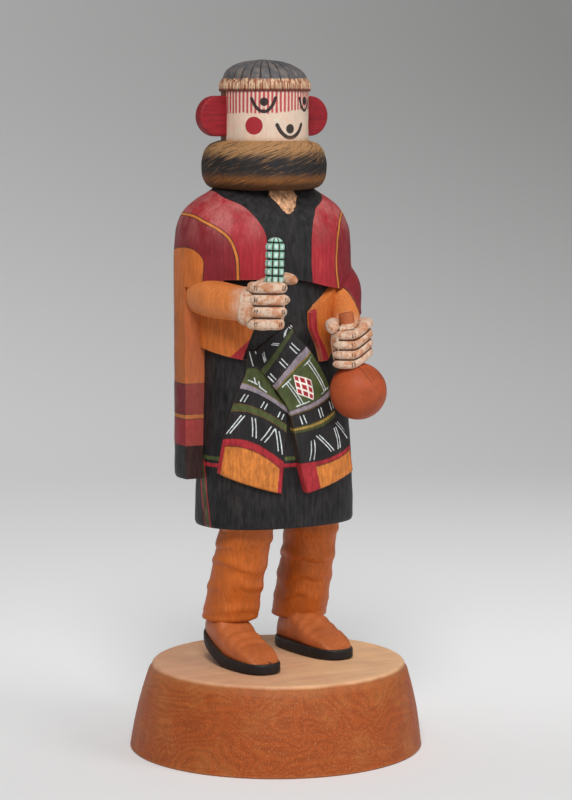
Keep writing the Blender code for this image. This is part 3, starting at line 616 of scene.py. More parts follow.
def skin(name, surface, around, rows, closed_ends=True):
    """Mesh of surface(u, v), wrapped round in u. Its UV map "place" holds u and v."""
    shape = bmesh.new()
    last = len(rows) - 1
    shape.loops.layers.uv.new("place")
    bmesh.ops.create_grid(shape, x_segments=around, y_segments=last, size=1.0, calc_uvs=True)
    place = shape.loops.layers.uv["place"]
    for face in shape.faces:
        for loop in face.loops:
            x, y, _ = loop.vert.co
            loop[place].uv = ((x + 1) / 2, rows[round((y + 1) / 2 * last)])
    for vert in shape.verts:
        vert.co = surface((vert.co.x + 1) / 2 % 1.0, rows[round((vert.co.y + 1) / 2 * last)])
    bmesh.ops.remove_doubles(shape, verts=shape.verts, dist=1e-7)
    if closed_ends:
        bmesh.ops.holes_fill(shape, edges=shape.edges)
    shape.normal_update()
    bmesh.ops.recalc_face_normals(shape, faces=shape.faces)
    return piece_from(name, shape)


def piece_from(name, shape, sharp=50.0):
    mesh = bpy.data.meshes.new(name)
    shape.to_mesh(mesh)
    shape.free()
    mesh.shade_smooth()
    mesh.set_sharp_from_angle(angle=math.radians(sharp))
    piece = bpy.data.objects.new(name, mesh)
    bpy.context.scene.collection.objects.link(piece)
    return piece


def joined(name, pieces, sharp=50.0):
    """One piece of several, each of which keeps its own materials."""
    shape = bmesh.new()
    materials = []
    for piece in pieces:
        mesh = piece.data
        start = len(shape.faces)
        shape.from_mesh(mesh)
        shape.faces.ensure_lookup_table()
        slots = []
        for material in mesh.materials:
            if material not in materials:
                materials.append(material)
            slots.append(materials.index(material))
        for face in shape.faces[start:]:
            face.material_index = slots[face.material_index] if slots else 0
        bpy.data.objects.remove(piece)
    whole = piece_from(name, shape, sharp)
    for material in materials:
        whole.data.materials.append(material)
    return whole


def made_real(piece, sharp=50.0):
    """Gives the piece the mesh that its modifiers make, and takes them off."""
    graph = bpy.context.evaluated_depsgraph_get()
    mesh = bpy.data.meshes.new_from_object(piece.evaluated_get(graph), depsgraph=graph)
    piece.modifiers.clear()
    piece.data = mesh
    mesh.shade_smooth()
    mesh.set_sharp_from_angle(angle=math.radians(sharp))


def cut_away(piece, cutter):
    """Takes the cutter's volume out of the piece."""
    cut = piece.modifiers.new("cut", "BOOLEAN")
    cut.operation = "DIFFERENCE"
    cut.solver = "EXACT"
    cut.object = cutter
    made_real(piece)
    bpy.data.objects.remove(cutter)


def points_of(mesh):
    points = np.empty(len(mesh.vertices) * 3)
    mesh.vertices.foreach_get("co", points)
    return points.reshape(-1, 3)


def drawn_points(piece):
    """Points of the piece in drawn units."""
    return (points_of(piece.data) - np.array(drawn(0, 0, 0))) / UNIT


def write_field(piece, name, values):
    """Keeps one number for each point of the piece, for its material to read."""
    layer = piece.data.attributes.get(name) or piece.data.attributes.new(name, "FLOAT", "POINT")
    layer.data.foreach_set("value", np.asarray(values, np.float32))


def read_field(piece, name):
    values = np.empty(len(piece.data.vertices), np.float32)
    piece.data.attributes[name].data.foreach_get("value", values)
    return values


def mark_edges(piece, rounds=2):
    """Writes "edge": how sharply each point stands out, over 0 on arrises and under 0 in hollows, per mm."""
    mesh = piece.data
    points = points_of(mesh)
    normals = np.empty(len(mesh.vertices) * 3)
    mesh.vertex_normals.foreach_get("vector", normals)
    normals = normals.reshape(-1, 3)
    ends = np.empty(len(mesh.edges) * 2, np.int32)
    mesh.edges.foreach_get("vertices", ends)
    first, second = ends.reshape(-1, 2).T
    step = points[second] - points[first]
    reach = np.maximum(np.linalg.norm(step, axis=1), 1e-5)
    size = len(points)
    outward = -(step * normals[first]).sum(1) / reach**2
    inward = (step * normals[second]).sum(1) / reach**2
    count = np.maximum(np.bincount(first, minlength=size) + np.bincount(second, minlength=size), 1)
    bend = np.bincount(first, outward, size) + np.bincount(second, inward, size)
    bend = np.clip(bend / count * MM, -3, 3)
    for _ in range(rounds):
        total = np.bincount(first, bend[second], size) + np.bincount(second, bend[first], size)
        bend = (bend + total / count) / 2
    write_field(piece, "edge", bend)


def distance_to_path(points, path):
    """Distance from each point to a line through the places of the path."""
    best = np.full(len(points), 1e9)
    for start, end in zip(path[:-1], path[1:]):
        along = end - start
        share = ((points - start) @ along / max(along @ along, 1e-12)).clip(0, 1)
        best = np.minimum(best, np.linalg.norm(points - start - share[:, None] * along, axis=1))
    return best


def smooth_path(places, steps=6):
    """Places on a smooth curve through the given ones."""
    places = np.array(places, float)
    padded = np.vstack([2 * places[0] - places[1], places, 2 * places[-1] - places[-2]])
    found = []
    for at in range(len(places) - 1):
        before, start, end, after = padded[at : at + 4]
        for t in np.arange(steps) / steps:
            found.append(
                start + (end - before) / 2 * t
                + (before - 2.5 * start + 2 * end - after / 2) * t**2
                + (1.5 * (start - end) + (after - before) / 2) * t**3
            )
    return np.array([*found, places[-1]])


def above_path(turns, heights, path):
    """Whether each place lies on the left hand of the path, in turn and height."""
    crossed = np.zeros(len(turns), bool)
    for (turn_a, height_a), (turn_b, height_b) in zip(path, np.roll(path, -1, axis=0)):
        level = (height_a > heights) != (height_b > heights)
        step = height_b - height_a
        where = turn_a + (heights - height_a) / (step if abs(step) > 1e-9 else 1e-9) * (turn_b - turn_a)
        crossed ^= level & (turns < where)
    return crossed


class Wire:
    """A socket of a material. Arithmetic on it adds Math nodes."""

    def __init__(self, paint, socket):
        self.paint = paint
        self.socket = socket

    def maths(self, operation, *others):
        return self.paint.node("ShaderNodeMath", {"operation": operation}, (self, *others))

    def __add__(self, other):
        return self.maths("ADD", other)

    __radd__ = __add__

    def __sub__(self, other):
        return self.maths("SUBTRACT", other)

    def __rsub__(self, other):
        return self.paint.node("ShaderNodeMath", {"operation": "SUBTRACT"}, (other, self))

    def __mul__(self, other):
        return self.maths("MULTIPLY", other)

    __rmul__ = __mul__

    def __truediv__(self, other):
        return self.maths("DIVIDE", other)

    def __abs__(self):
        return self.maths("ABSOLUTE")

    def __pow__(self, power):
        return self.maths("POWER", power)

    def sine(self):
        return self.maths("SINE")

    def most(self, other):
        return self.maths("MAXIMUM", other)

    def floor(self):
        return self.maths("FLOOR")

    def fraction(self):
        return self.maths("FRACT")

    def step(self, low, high):
        """0 at low, 1 at high, smooth between. low may be over high."""
        return self.paint.node(
            "ShaderNodeMapRange", {"interpolation_type": "SMOOTHSTEP", "clamp": True},
            {"Value": self, "From Min": low, "From Max": high, "To Min": 0.0, "To Max": 1.0}, "Result",
        )


class Paint:
    """A material and the few kinds of node that its finish is made of."""

    def __init__(self, name):
        self.material = bpy.data.materials.new(name)
        self.material.use_nodes = True
        self.tree = self.material.node_tree
        self.shader = self.tree.nodes["Principled BSDF"]
        self.object_place = self.node("ShaderNodeTexCoord", {}, {}, "Object")

    def node(self, kind, settings, inputs, output=0):
        made = self.tree.nodes.new(kind)
        for name, value in settings.items():
            setattr(made, name, value)
        pairs = inputs.items() if isinstance(inputs, dict) else enumerate(inputs)
        for key, value in pairs:
            self.feed(made.inputs[key], value)
        return Wire(self, made.outputs[output])

    def feed(self, socket, value):
        if isinstance(value, Wire):
            self.tree.links.new(value.socket, socket)
        elif isinstance(value, (tuple, list)) and len(value) == 3 and socket.type == "RGBA":
            socket.default_value = (*value, 1.0)
        else:
            socket.default_value = value

    def field(self, name):
        return self.node("ShaderNodeAttribute", {"attribute_name": name}, {}, "Fac")

    def along_piece(self):
        """The piece's own place: the share round it or across it, and the height or the share along it."""
        place = self.node("ShaderNodeUVMap", {"uv_map": "place"}, {}, "UV")
        return self.parts(place)[:2]

    def parts(self, vector):
        split = self.tree.nodes.new("ShaderNodeSeparateXYZ")
        self.tree.links.new(vector.socket, split.inputs[0])
        return [Wire(self, socket) for socket in split.outputs]

    def vector(self, x, y, z):
        return self.node("ShaderNodeCombineXYZ", {}, (x, y, z))

    def noise(self, scale, detail=3.0, stretch=(1.0, 1.0, 1.0), place=None, warp=0.0, seed=0.0):
        """Noise about 0.5 over the wood, finer with scale, which counts cells to a metre."""
        shift = (seed, seed * 0.7, seed * 0.3)
        inputs = {"Vector": place or self.object_place, "Location": shift, "Scale": stretch}
        where = self.node("ShaderNodeMapping", {}, inputs)
        inputs = {"Vector": where, "Scale": scale, "Detail": detail, "Roughness": 0.6, "Distortion": warp}
        return self.node("ShaderNodeTexNoise", {}, inputs, "Fac")

    def sway(self, scale, detail=3.0, stretch=(1.0, 1.0, 1.0), seed=0.0):
        """Noise about 0."""
        return self.noise(scale, detail, stretch, seed=seed) - 0.5

    def mix(self, mask, under, over):
        """Colour that goes from under to over as the mask goes from 0 to 1."""
        made = self.tree.nodes.new("ShaderNodeMix")
        made.data_type, made.clamp_factor = "RGBA", True
        sockets = [socket for socket in made.inputs if socket.enabled]
        for socket, value in zip(sockets, (mask, under, over)):
            self.feed(socket, value)
        return Wire(self, [socket for socket in made.outputs if socket.enabled][0])

    def scaled(self, colour, factor):
        """Colour made lighter or darker by a factor."""
        made = self.tree.nodes.new("ShaderNodeVectorMath")
        made.operation = "SCALE"
        if isinstance(colour, Wire):
            self.feed(made.inputs[0], colour)
        else:
            made.inputs[0].default_value = colour
        self.feed(made.inputs["Scale"], factor)
        return Wire(self, made.outputs[0])

    def weathered(self, colour, streaks=0.25, blotches=0.18, worn=0.35, bare=BARE_WOOD, hollow_shade=0.55,
                  grain=(1.0, 1.0, 0.09)):
        """Thin paint over wood: streaks along the grain, blotches, pale worn arrises, and painted shade that
        darkens the hollows.
        """
        streak = self.noise(1100.0, 4.0, grain)
        blotch = self.noise(90.0, 4.0, seed=3.1)
        speck = self.noise(1500.0, 2.0, seed=6.3)
        tone = 1.0 + (streak - 0.5) * (3 * streaks) + (blotch - 0.5) * (3 * blotches) + (speck - 0.5) * 0.3
        colour = self.scaled(colour, tone)
        rubbed = (blotch * 0.5 + streak * 0.5).step(0.54, 0.72)
        colour = self.mix(rubbed * (worn * 0.5), colour, bare)
        edge = self.field("edge")
        rough_edge = edge + self.sway(420.0, seed=1.7) * 0.5
        colour = self.mix(rough_edge.step(0.16, 0.75) * worn, colour, bare)
        # Painted shade: the colour is darkened in the hollows, by the strength given for it
        return self.scaled(colour, 1.0 - edge.step(-0.05, -0.55) * hollow_shade)

    def wood_bump(self, depth=0.12, grain=(1.0, 1.0, 0.09)):
        """Height in mm of the grain and the brush marks."""
        return self.sway(1500.0, 3.0, grain, seed=5.0) * depth

    def finish(self, colour, roughness, height=None, glow=None):
        self.feed(self.shader.inputs["Base Color"], colour)
        self.feed(self.shader.inputs["Roughness"], roughness)
        self.shader.inputs["Specular IOR Level"].default_value = SHEEN
        if glow is not None:
            self.feed(self.shader.inputs["Emission Color"], glow)
            self.shader.inputs["Emission Strength"].default_value = 1.0
        if height is not None:
            bump = self.node(
                "ShaderNodeBump", {}, {"Strength": 1.0, "Distance": MM, "Height": height}, "Normal"
            )
            self.feed(self.shader.inputs["Normal"], bump)
        return self.material


def dress_up(piece, *nodes, slot, material=None):
    """Hangs the piece on the model in place of the solids that it covers."""
    if material:
        piece.data.materials.clear()
        piece.data.materials.append(material)
    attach(piece, "root")
    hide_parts(*nodes)
    return piece


def dress_figure(piece, material, rounds=2):
    """Marks the arrises of a form of the figure and hangs it in place of the figure's solid."""
    mark_edges(piece, rounds)
    dress_up(piece, "figure", slot="figure", material=material)


def relief():
    return bpy.context.scene.doll_relief


def paints():
    return bpy.context.scene.doll_colours


def colour_of(name):
    return tuple(getattr(paints(), name))


def upright(name, stations, around, rows, rise=None):
    """Form through a stack of ovals with knife marks on it, and a further rise(u, height) in drawn units."""
    marks = relief().tool_marks / UNIT

    def surface(u, height):
        x, y, _ = oval_point(stations, 360 * u, height)
        # Broad facets of the knife, and finer ones that run up the grain
        lift = marks * (unevenness(x, y, height, 9.0) + 0.5 * unevenness(x, y, height * 0.4, 3.0, 7.0))
        if rise:
            lift += rise(u, height)
        return drawn(*oval_point(stations, 360 * u, height, lift))

    return skin(name, surface, around, rows)


def turned_to(piece, stations):
    """Turn from -270 to 90 and drawn height of each point of the piece, and its points in drawn units."""
    points = drawn_points(piece)
    heights = points[:, 2]
    rows = np.array([blended(stations, height) for height in heights.tolist()])
    x, y, half_width, half_depth, squareness = rows.T
    across, deep = (points[:, 0] - x) / half_width, (points[:, 1] - y) / half_depth
    turns = np.degrees(np.arctan2(
        np.sign(deep) * np.abs(deep) ** (squareness / 2), np.sign(across) * np.abs(across) ** (squareness / 2)
    ))
    return (turns + 270) % 360 - 270, heights, points


def on_form(stations, path, steps=5):
    """Painted line on a form, from turns and heights to drawn units in space."""
    return np.array([oval_point(stations, turn, height) for turn, height in smooth_path(path, steps)])


def border_field(turns, heights, points, stations, lines, top=260):
    """Distance in drawn units to a border down to the hem and up again, over 0 on the neck's side."""
    first, second = lines
    outline = np.array([*smooth_path(first), *smooth_path(second), (second[-1][0], top), (first[0][0], top)])
    inside = above_path(turns, heights, outline)
    distance = np.full(len(points), 1e9)
    for line in lines:
        distance = np.minimum(distance, distance_to_path(points, on_form(stations, line)))
    return np.where(inside, distance, -distance)


def stroke_field(points, strokes, place):
    """Distance in drawn units to the nearest stroke, less its half width. place maps (u, v) into space."""
    best = np.full(len(points), 9.0)
    for width, path in strokes:
        line = np.array([place(*spot) for spot in smooth_path(path, 4)])
        best = np.minimum(best, distance_to_path(points, line) - width / 2)
    return best


class DOLL_OT_plinth(bpy.types.Operator):
    """Turn the wooden plinth, with its softened rim"""

    bl_idname = "doll.plinth"
    bl_label = "Plinth"

    def execute(self, context):
        top, bottom, height = BASE_TOP_RADIUS, BASE_BOTTOM_RADIUS, BASE_HEIGHT
        profile = [(bottom * 0.97, 0.0), (bottom - 0.0006, 0.0), (bottom, 0.0007)]
        for share in even(0.04, 0.9, 22):
            swell = BASE_SIDE_SWELL * math.sin(math.pi * share)
            profile.append((bottom + (top - bottom) * share + swell, height * share))
        for angle in even(0, math.pi / 2, 8):
            radius = top - BASE_TOP_ROUNDING * (1 - math.cos(angle))
            profile.append((radius, height - BASE_TOP_ROUNDING * (1 - math.sin(angle))))
        profile += [(radius, height) for radius in even(top - 1.6 * BASE_TOP_ROUNDING, 0.0008, 10)]
        marks = relief().tool_marks

        def surface(u, place):
            radius, z = profile[round(place)]
            x, y = ring(radius, math.tau * u)
            uneven = marks * unevenness(x / MM, y / MM, z / MM, 16.0) if 0.002 < z < height - 0.0005 else 0.0
            grown = 1 + uneven / BASE_MIDDLE_RADIUS
            return Vector((x * grown, y * grown, z)) + BASE_TOP_SHIFT * (z / height)

        piece = skin("plinth", surface, 288, list(range(len(profile))))
        mark_edges(piece)
        dress_up(piece, "base", slot="base", material=plinth_wood())
        return {"FINISHED"}


class DOLL_OT_shawl(bpy.types.Operator):
    """Carve the shawl, open it in front and paint its yoke and its panels"""

    bl_idname = "doll.shawl"
    bl_label = "Shawl"

    def execute(self, context):
        rows = sorted({*even(85.5, 87, 4), *even(87, 160, 74), *even(160, 218, 102)})
        piece = upright("figure_shawl", SHAWL, 320, rows)
        left, right = SHAWL_HEM[0][0], SHAWL_HEM[-1][0]
        (right_x, right_y), (left_x, left_y) = SHAWL_EDGE_RIGHT, SHAWL_EDGE_LEFT
        slope = (left_y - right_y) / (left_x - right_x)

        def opening(u, reach):
            x = left + (right - left) * (2 * u if u < 0.5 else 2 - 2 * u)
            height = 0 if u < 0.5 else blended(SHAWL_HEM, x)[0]
            return drawn(x, right_y + slope * (x - right_x) + reach, height)

        cut_away(piece, skin("shawl_opening", opening, 48, [left, 0]))
        turns, heights, points = turned_to(piece, SHAWL)
        write_field(piece, "height", heights)
        for name, lines in (("yoke", YOKE_BORDER), ("piping", PIPING), ("field", FIELD_BORDER)):
            write_field(piece, name, border_field(turns, heights, points, SHAWL, lines))
        neck = np.array([*NECK_OPENING, (NECK_OPENING[-1][0], 240), (NECK_OPENING[0][0], 240)])
        distance = distance_to_path(points, on_form(SHAWL, NECK_OPENING))
        write_field(piece, "neck", np.where(above_path(turns, heights, neck), distance, -distance))
        seam = [NECK_OPENING[2], (-90.6, 196), (-91.4, 186), (-91.8, 172)]
        write_field(piece, "seam", distance_to_path(points, on_form(SHAWL, seam)))
        dress_figure(piece, shawl_paint())
        return {"FINISHED"}


class DOLL_OT_dress(bpy.types.Operator):
    """Carve the black dress and paint its bands"""

    bl_idname = "doll.dress"
    bl_label = "Dress"

    def execute(self, context):
        rows = sorted({*even(64, 65.5, 4), *even(65.5, 191, 116)})
        piece = upright("figure_dress", DRESS, 216, rows)
        dress_figure(piece, dress_paint())
        return {"FINISHED"}


def slab_place(edges, share, v, rise_change=0.0):
    """Point of a cloth slab's outside, in drawn units."""
    stations = tuple((place / (len(edges) - 1), *edge) for place, edge in enumerate(edges))
    turn_a, height_a, turn_b, height_b, rise = blended(stations, v)
    turn = turn_a + (turn_b - turn_a) * share
    height = height_a + (height_b - height_a) * share
    return oval_point(DRESS, turn, height, rise + rise_change)


def slab(name, edges, across, rows, width, length):
    """Cloth lying on the dress, with softened edges. Its fields "across" and "down" run over its outside."""
    last = 2 * across + 1
    marks = relief().tool_marks / UNIT

    def surface(u, v):
        place = round(u * (last + 1))
        outside = place <= across
        share = (place if outside else last - place) / across
        if not outside:
            return drawn(*slab_place(edges, share, v, -SLAB_DEPTH))
        margin = min(min(share, 1 - share) * width, min(v, 1 - v) * length)
        drop = SLAB_ROUNDING - math.sqrt(SLAB_ROUNDING**2 - max(SLAB_ROUNDING - margin, 0) ** 2)
        x, y, height = slab_place(edges, share, v)
        wave = marks * unevenness(x, y, height, 7.0, 3.0)
        return drawn(*slab_place(edges, share, v, wave - drop))

    piece = skin(name, surface, last + 1, even(0, 1, rows))
    uvs = np.empty(len(piece.data.loops) * 2)
    piece.data.uv_layers["place"].data.foreach_get("uv", uvs)
    owners = np.empty(len(piece.data.loops), np.int32)
    piece.data.loops.foreach_get("vertex_index", owners)
    places = np.zeros((len(piece.data.vertices), 2))
    places[owners] = uvs.reshape(-1, 2)
    step = places[:, 0] * (last + 1)
    share = np.where(step <= across + 0.5, step, last - step) / across
    write_field(piece, "across", share)
    write_field(piece, "down", places[:, 1])
    mark_edges(piece)
    return piece


class DOLL_OT_lining(bpy.types.Operator):
    """Hang the two corners of the shawl's lining below the forearms"""

    bl_idname = "doll.lining"
    bl_label = "Lining"

    def execute(self, context):
        right = slab("corner_right", RIGHT_CORNER, 100, 52, 32, 24)
        across, down = (read_field(right, name) for name in ("across", "down"))
        write_field(right, "border", 2.35 - 4 * ((across - 0.79) / 0.21 + (down - 0.55) / 0.45 - 1))
        left = slab("corner_left", LEFT_CORNER, 84, 76, 20, 24)
        spots = smooth_path(((0.02, 0.0), (0.02, 0.3), (0.02, 0.62), (0.4, 1.0)), 5)
        edge = np.array([slab_place(LEFT_CORNER, *place) for place in spots])
        write_field(left, "border", distance_to_path(drawn_points(left), edge))
        piece = joined("figure_lining", [right, left])
        dress_up(piece, "figure", slot="figure", material=lining_paint())
        return {"FINISHED"}


def pair(u_top, u_foot, v_top, v_foot, gap=0.03, width=0.5, bow=0.0):
    """Two strokes side by side, from the top to the foot."""
    strokes = []
    for side in (-gap, gap):
        middle = ((u_top + u_foot) / 2 + side + bow, (v_top + v_foot) / 2)
        strokes.append((width, ((u_top + side, v_top), middle, (u_foot + side, v_foot))))
    return strokes


def under_sash_strokes():
    strokes = [
        (0.42, ((0.12, 0.04), (0.20, 0.09), (0.30, 0.155))),
        (0.42, ((0.50, 0.045), (0.58, 0.09), (0.68, 0.135))),
        (0.55, ((0.31, 0.245), (0.34, 0.30))),
        (0.55, ((0.12, 0.30), (0.25, 0.302), (0.38, 0.305))),
        (0.55, ((0.455, 0.262), (0.465, 0.325))),
        (0.55, ((0.44, 0.322), (0.52, 0.328), (0.62, 0.335))),
    ]
    for u in (0.18, 0.57, 0.89):
        strokes += pair(u, u - 0.025, 0.485, 0.55, 0.034)
    for u_top, u_foot in ((0.25, 0.08), (0.44, 0.52), (0.78, 0.66), (0.85, 0.93)):
        strokes += pair(u_top, u_foot, 0.66, 0.765, 0.03, bow=0.008)
    return strokes


def upper_sash_strokes():
    seventh = 1 / 7
    strokes = []
    for u_top, u_foot in ((0.3, 0.2), (0.52, 0.6), (0.86, 0.78), (0.93, 0.97)):
        strokes += pair(u_top, u_foot, 0.05, 0.105, 0.018, 0.42)
    for u in (0.08, 0.45, 0.80):
        strokes += pair(u, u + 0.02, 1.36 * seventh, 1.8 * seventh, 0.035)
    for u in (0.28, 0.83):
        strokes += pair(u, u + 0.01, 3.12 * seventh, 3.96 * seventh, 0.026, 0.45)
        for level, shift in ((3.11, -0.02), (3.97, 0.02)):
            ends = (u + shift - 0.12, u + shift + 0.12)
            strokes.append((0.5, tuple((end, level * seventh) for end in ends)))
    for u in (0.22, 0.60, 0.92):
        strokes += pair(u, u + 0.01, 4.48 * seventh, 4.84 * seventh, 0.034)
    lowest = ((0.25, 0.15, 5.42), (0.37, 0.53, 5.32), (0.79, 0.68, 5.34), (0.90, 0.985, 5.26))
    for u_top, u_foot, start in lowest:
        strokes += pair(u_top, u_foot, start * seventh, (start + 0.53) * seventh, 0.028, bow=0.006)
    return strokes


class DOLL_OT_sash(bpy.types.Operator):
    """Lay the two ends of the sash on the dress and paint their bands and strokes"""

    bl_idname = "doll.sash"
    bl_label = "Sash"

    def execute(self, context):
        ends = (
            ("figure_sash_under", UNDER_SASH, (112, 158), (30, 60), under_sash_strokes(), under_sash_paint,
             (0.22, 0.09)),
            ("figure_sash_upper", UPPER_SASH, (112, 166), (24, 66), upper_sash_strokes(), upper_sash_paint,
             (-0.05, 0.0)),
        )
        for name, edges, (across, rows), (width, length), strokes, paint, (arch, fall) in ends:
            piece = slab(name, edges, across, rows, width, length)
            u, v = (read_field(piece, field) for field in ("across", "down"))
            write_field(piece, "down", v + arch * u * (1 - u) - fall * u * np.maximum(v - 0.4, 0))
            points = drawn_points(piece)

            def place(u, v):
                return slab_place(edges, u, v - arch * u * (1 - u) + fall * u * max(v - 0.4, 0))

            write_field(piece, "stroke", stroke_field(points, strokes, place))
            dress_up(piece, "figure", slot="figure", material=paint())
        return {"FINISHED"}


def limb(name, path, around, rows, squareness, round_end=True, frame=None):
    """Form swept along a path of x, y, height, half width and half height, or in a fist's own directions."""
    stations = tuple((place / (len(path) - 1), *point) for place, point in enumerate(path))
    up = Vector((0, 0, 1))
    power = 2 / squareness
    end_share = 1 / 6 if len(path) > 4 or not round_end else 1 / 5

    def centre(v):
        values = blended(stations, v)
        if frame:
            origin, along, out = (Vector(part) for part in frame)
            return origin + along * values[0] + out * values[1] + up * values[2]
        return Vector(values[:3])

    def surface(u, v):
        half_width, half_height = blended(stations, v)[3:]
        heading = centre(min(v + 0.01, 1)) - centre(max(v - 0.01, 0))
        side = heading.cross(up).normalized()
        top = side.cross(heading).normalized()
        angle = math.tau * u
        left = (1 - v) / end_share
        scale = max(math.sqrt(1 - (1 - left) ** 2), 0.03) if round_end and left < 1 else 1.0
        across = half_width * scale * signed_power(math.cos(angle), power)
        upwards = half_height * scale * signed_power(math.sin(angle), power)
        return drawn(*(centre(v) + side * across + top * upwards))

    places = even(0, 1, rows)
    if round_end:
        places = [*places[:-1], 1 - 0.3 / rows, 1 - 0.08 / rows, 1.0]
    return skin(name, surface, around, places)


def finger_path(bend, tip, height, knuckle_rise, size):
    depth, half_height = size
    path = []
    for place, (along, out, rise_share, depth_share) in enumerate(bend):
        along += tip if place == len(bend) - 1 else 0.0
        path.append((along, out, height + knuckle_rise * rise_share, depth * depth_share, half_height))
    return tuple(path)


class DOLL_OT_arms(bpy.types.Operator):
    """Carve the two bare forearms"""

    bl_idname = "doll.arms"
    bl_label = "Arms"

    def execute(self, context):
        arms = [
            limb("arm_right", RIGHT_ARM, 96, 90, ARM_SQUARENESS, round_end=False),
            limb("arm_left", LEFT_ARM, 96, 90, ARM_SQUARENESS, round_end=False),
        ]
        piece = joined("figure_arms", arms)
        points = drawn_points(piece)
        wrists = [np.array([RIGHT_ARM[-1][:3]]), np.array([LEFT_ARM[-1][:3]])]
        reach = np.minimum(*(np.linalg.norm(points - wrist, axis=1) for wrist in wrists))
        write_field(piece, "wrist", reach)
        lateral = points[:, 0] * math.cos(CAMERA_TURN) + points[:, 1] * math.sin(CAMERA_TURN)
        hem = SLEEVE_HEM_HEIGHT - SLEEVE_HEM_FALL * np.maximum(lateral - SLEEVE_HEM_TURN, 0) ** 2
        sleeve = np.where(points[:, 0] > 0, points[:, 2] - hem, -20.0)
        for vert, cover in zip(piece.data.vertices, np.clip(sleeve / 0.5 + 0.5, 0, 1)):
            vert.co += vert.normal * (float(cover) * SLEEVE_THICKNESS * MM)
        write_field(piece, "sleeve", sleeve)
        dress_figure(piece, arm_paint())
        return {"FINISHED"}


class DOLL_OT_hands(bpy.types.Operator):
    """Carve the two fists, each from its palm, fingers and thumb, and paint their knuckle marks"""

    bl_idname = "doll.hands"
    bl_label = "Hands"

    def execute(self, context):
        fists = (
            ("figure_hand_right", RIGHT_FIST, RIGHT_PALM, RIGHT_FINGERS, RIGHT_FINGER_BEND, 0.0,
             RIGHT_FINGER_SIZE, RIGHT_THUMB, (-3.9, -2.9), (-1.5, -0.7)),
            ("figure_hand_left", LEFT_FIST, LEFT_PALM, LEFT_FINGERS, LEFT_FINGER_BEND, LEFT_KNUCKLE_RISE,
             LEFT_FINGER_SIZE, LEFT_THUMB, (1.9, 3.2), ()),
        )
        for name, frame_of_fist, palm, fingers, bend, rise, size, thumb, knuckles, nails in fists:
            forms = [limb("palm", palm, 48, 48, FIST_SQUARENESS, frame=frame_of_fist)]
            for height, tip in fingers:
                path = finger_path(bend, tip, height, rise, size)
                forms.append(limb("finger", path, 40, 48, FIST_SQUARENESS, frame=frame_of_fist))
            forms.append(limb("thumb", thumb, 40, 40, THUMB_SQUARENESS, frame=frame_of_fist))
            piece = joined(name, forms)
            cells = piece.modifiers.new("one body", "REMESH")
            cells.mode = "VOXEL"
            cells.voxel_size = relief().finger_blend
            soften = piece.modifiers.new("soften", "SMOOTH")
            soften.factor = 0.5
            soften.iterations = 3
            made_real(piece, sharp=80.0)
            points = drawn_points(piece)
            centre, along, out = (np.array(part) for part in frame_of_fist)
            place = points - centre
            along, out, height = place @ along, place @ out, place[:, 2]
            ticks = np.full(len(points), 9.0)
            for finger_height, reach in fingers:
                for middle in (*knuckles, *(reach + nail for nail in nails)):
                    side = np.abs(along - middle - TICK_SLANT * (height - finger_height))
                    tall = np.maximum(np.abs(height - finger_height) - TICK_HALF_HEIGHT, 0)
                    ticks = np.minimum(ticks, np.hypot(side, tall) + np.where(out > 4, 0, 9.0))
            write_field(piece, "tick", ticks - TICK_HALF_WIDTH)
            tip = np.array(thumb[-1][:3])
            nail = np.array(thumb[-2][:3]) * 0.35 + tip * 0.65
            nail_place = np.stack([along, out, height], axis=1) - nail
            write_field(piece, "nail", np.linalg.norm(nail_place, axis=1) - THUMB_NAIL_RADIUS)
            dress_figure(piece, hand_paint(), rounds=3)
        return {"FINISHED"}


def carved_line(phase):
    """Depth from 0 to 1 of a V-cut that comes once in each unit of the phase."""
    return (1 - abs(math.sin(math.pi * phase))) ** 1.6


class DOLL_OT_ruff(bpy.types.Operator):
    """Carve the fur ruff with its slanting strokes"""

    bl_idname = "doll.ruff"
    bl_label = "Ruff"

    def execute(self, context):
        depth = relief().hair_stroke / UNIT

        def rise(u, height):
            x, y = ring(28, math.tau * u)
            phase = height * RUFF_STROKES_PER_HEIGHT - RUFF_STROKES * u
            phase += 0.5 * unevenness(x, y, height, 9.0, 2.0)
            fine = 0.5 * carved_line(phase * 1.7 + 0.4 * unevenness(x, y, height, 5.0, 9.0))
            strength = max(0.5 + 0.8 * unevenness(x, y, height, 5.0, 1.0), 0.1)
            return -depth * (carved_line(phase) * strength + fine)

        rows = sorted({*even(214, 217, 11), *even(217, 236, 70)})
        piece = upright("figure_ruff", RUFF, 630, rows, rise)
        dress_figure(piece, ruff_paint(), rounds=1)
        return {"FINISHED"}


def face_line(width, *places):
    """Painted line on the face, from arc lengths round it and heights, as turns and heights."""
    return width, tuple((-90 + math.degrees(arc / HEAD_RADIUS), height) for arc, height in places)


def bowl(width, left, foot, right):
    """U-shaped line."""
    (left_x, left_y), (foot_x, foot_y), (right_x, right_y) = left, foot, right
    return face_line(
        width, left,
        (left_x + 0.26 * (foot_x - left_x), left_y + 0.52 * (foot_y - left_y)),
        (left_x + 0.62 * (foot_x - left_x), left_y + 0.88 * (foot_y - left_y)),
        foot,
        (right_x + 0.62 * (foot_x - right_x), right_y + 0.88 * (foot_y - right_y)),
        (right_x + 0.26 * (foot_x - right_x), right_y + 0.52 * (foot_y - right_y)),
        right,
    )


def spot(points, arc, height, radius):
    """Distance in drawn units to a round spot on the face."""
    turn = -90 + math.degrees(arc / HEAD_RADIUS)
    return np.linalg.norm(points - np.array(oval_point(HEAD, turn, height)), axis=1) - radius


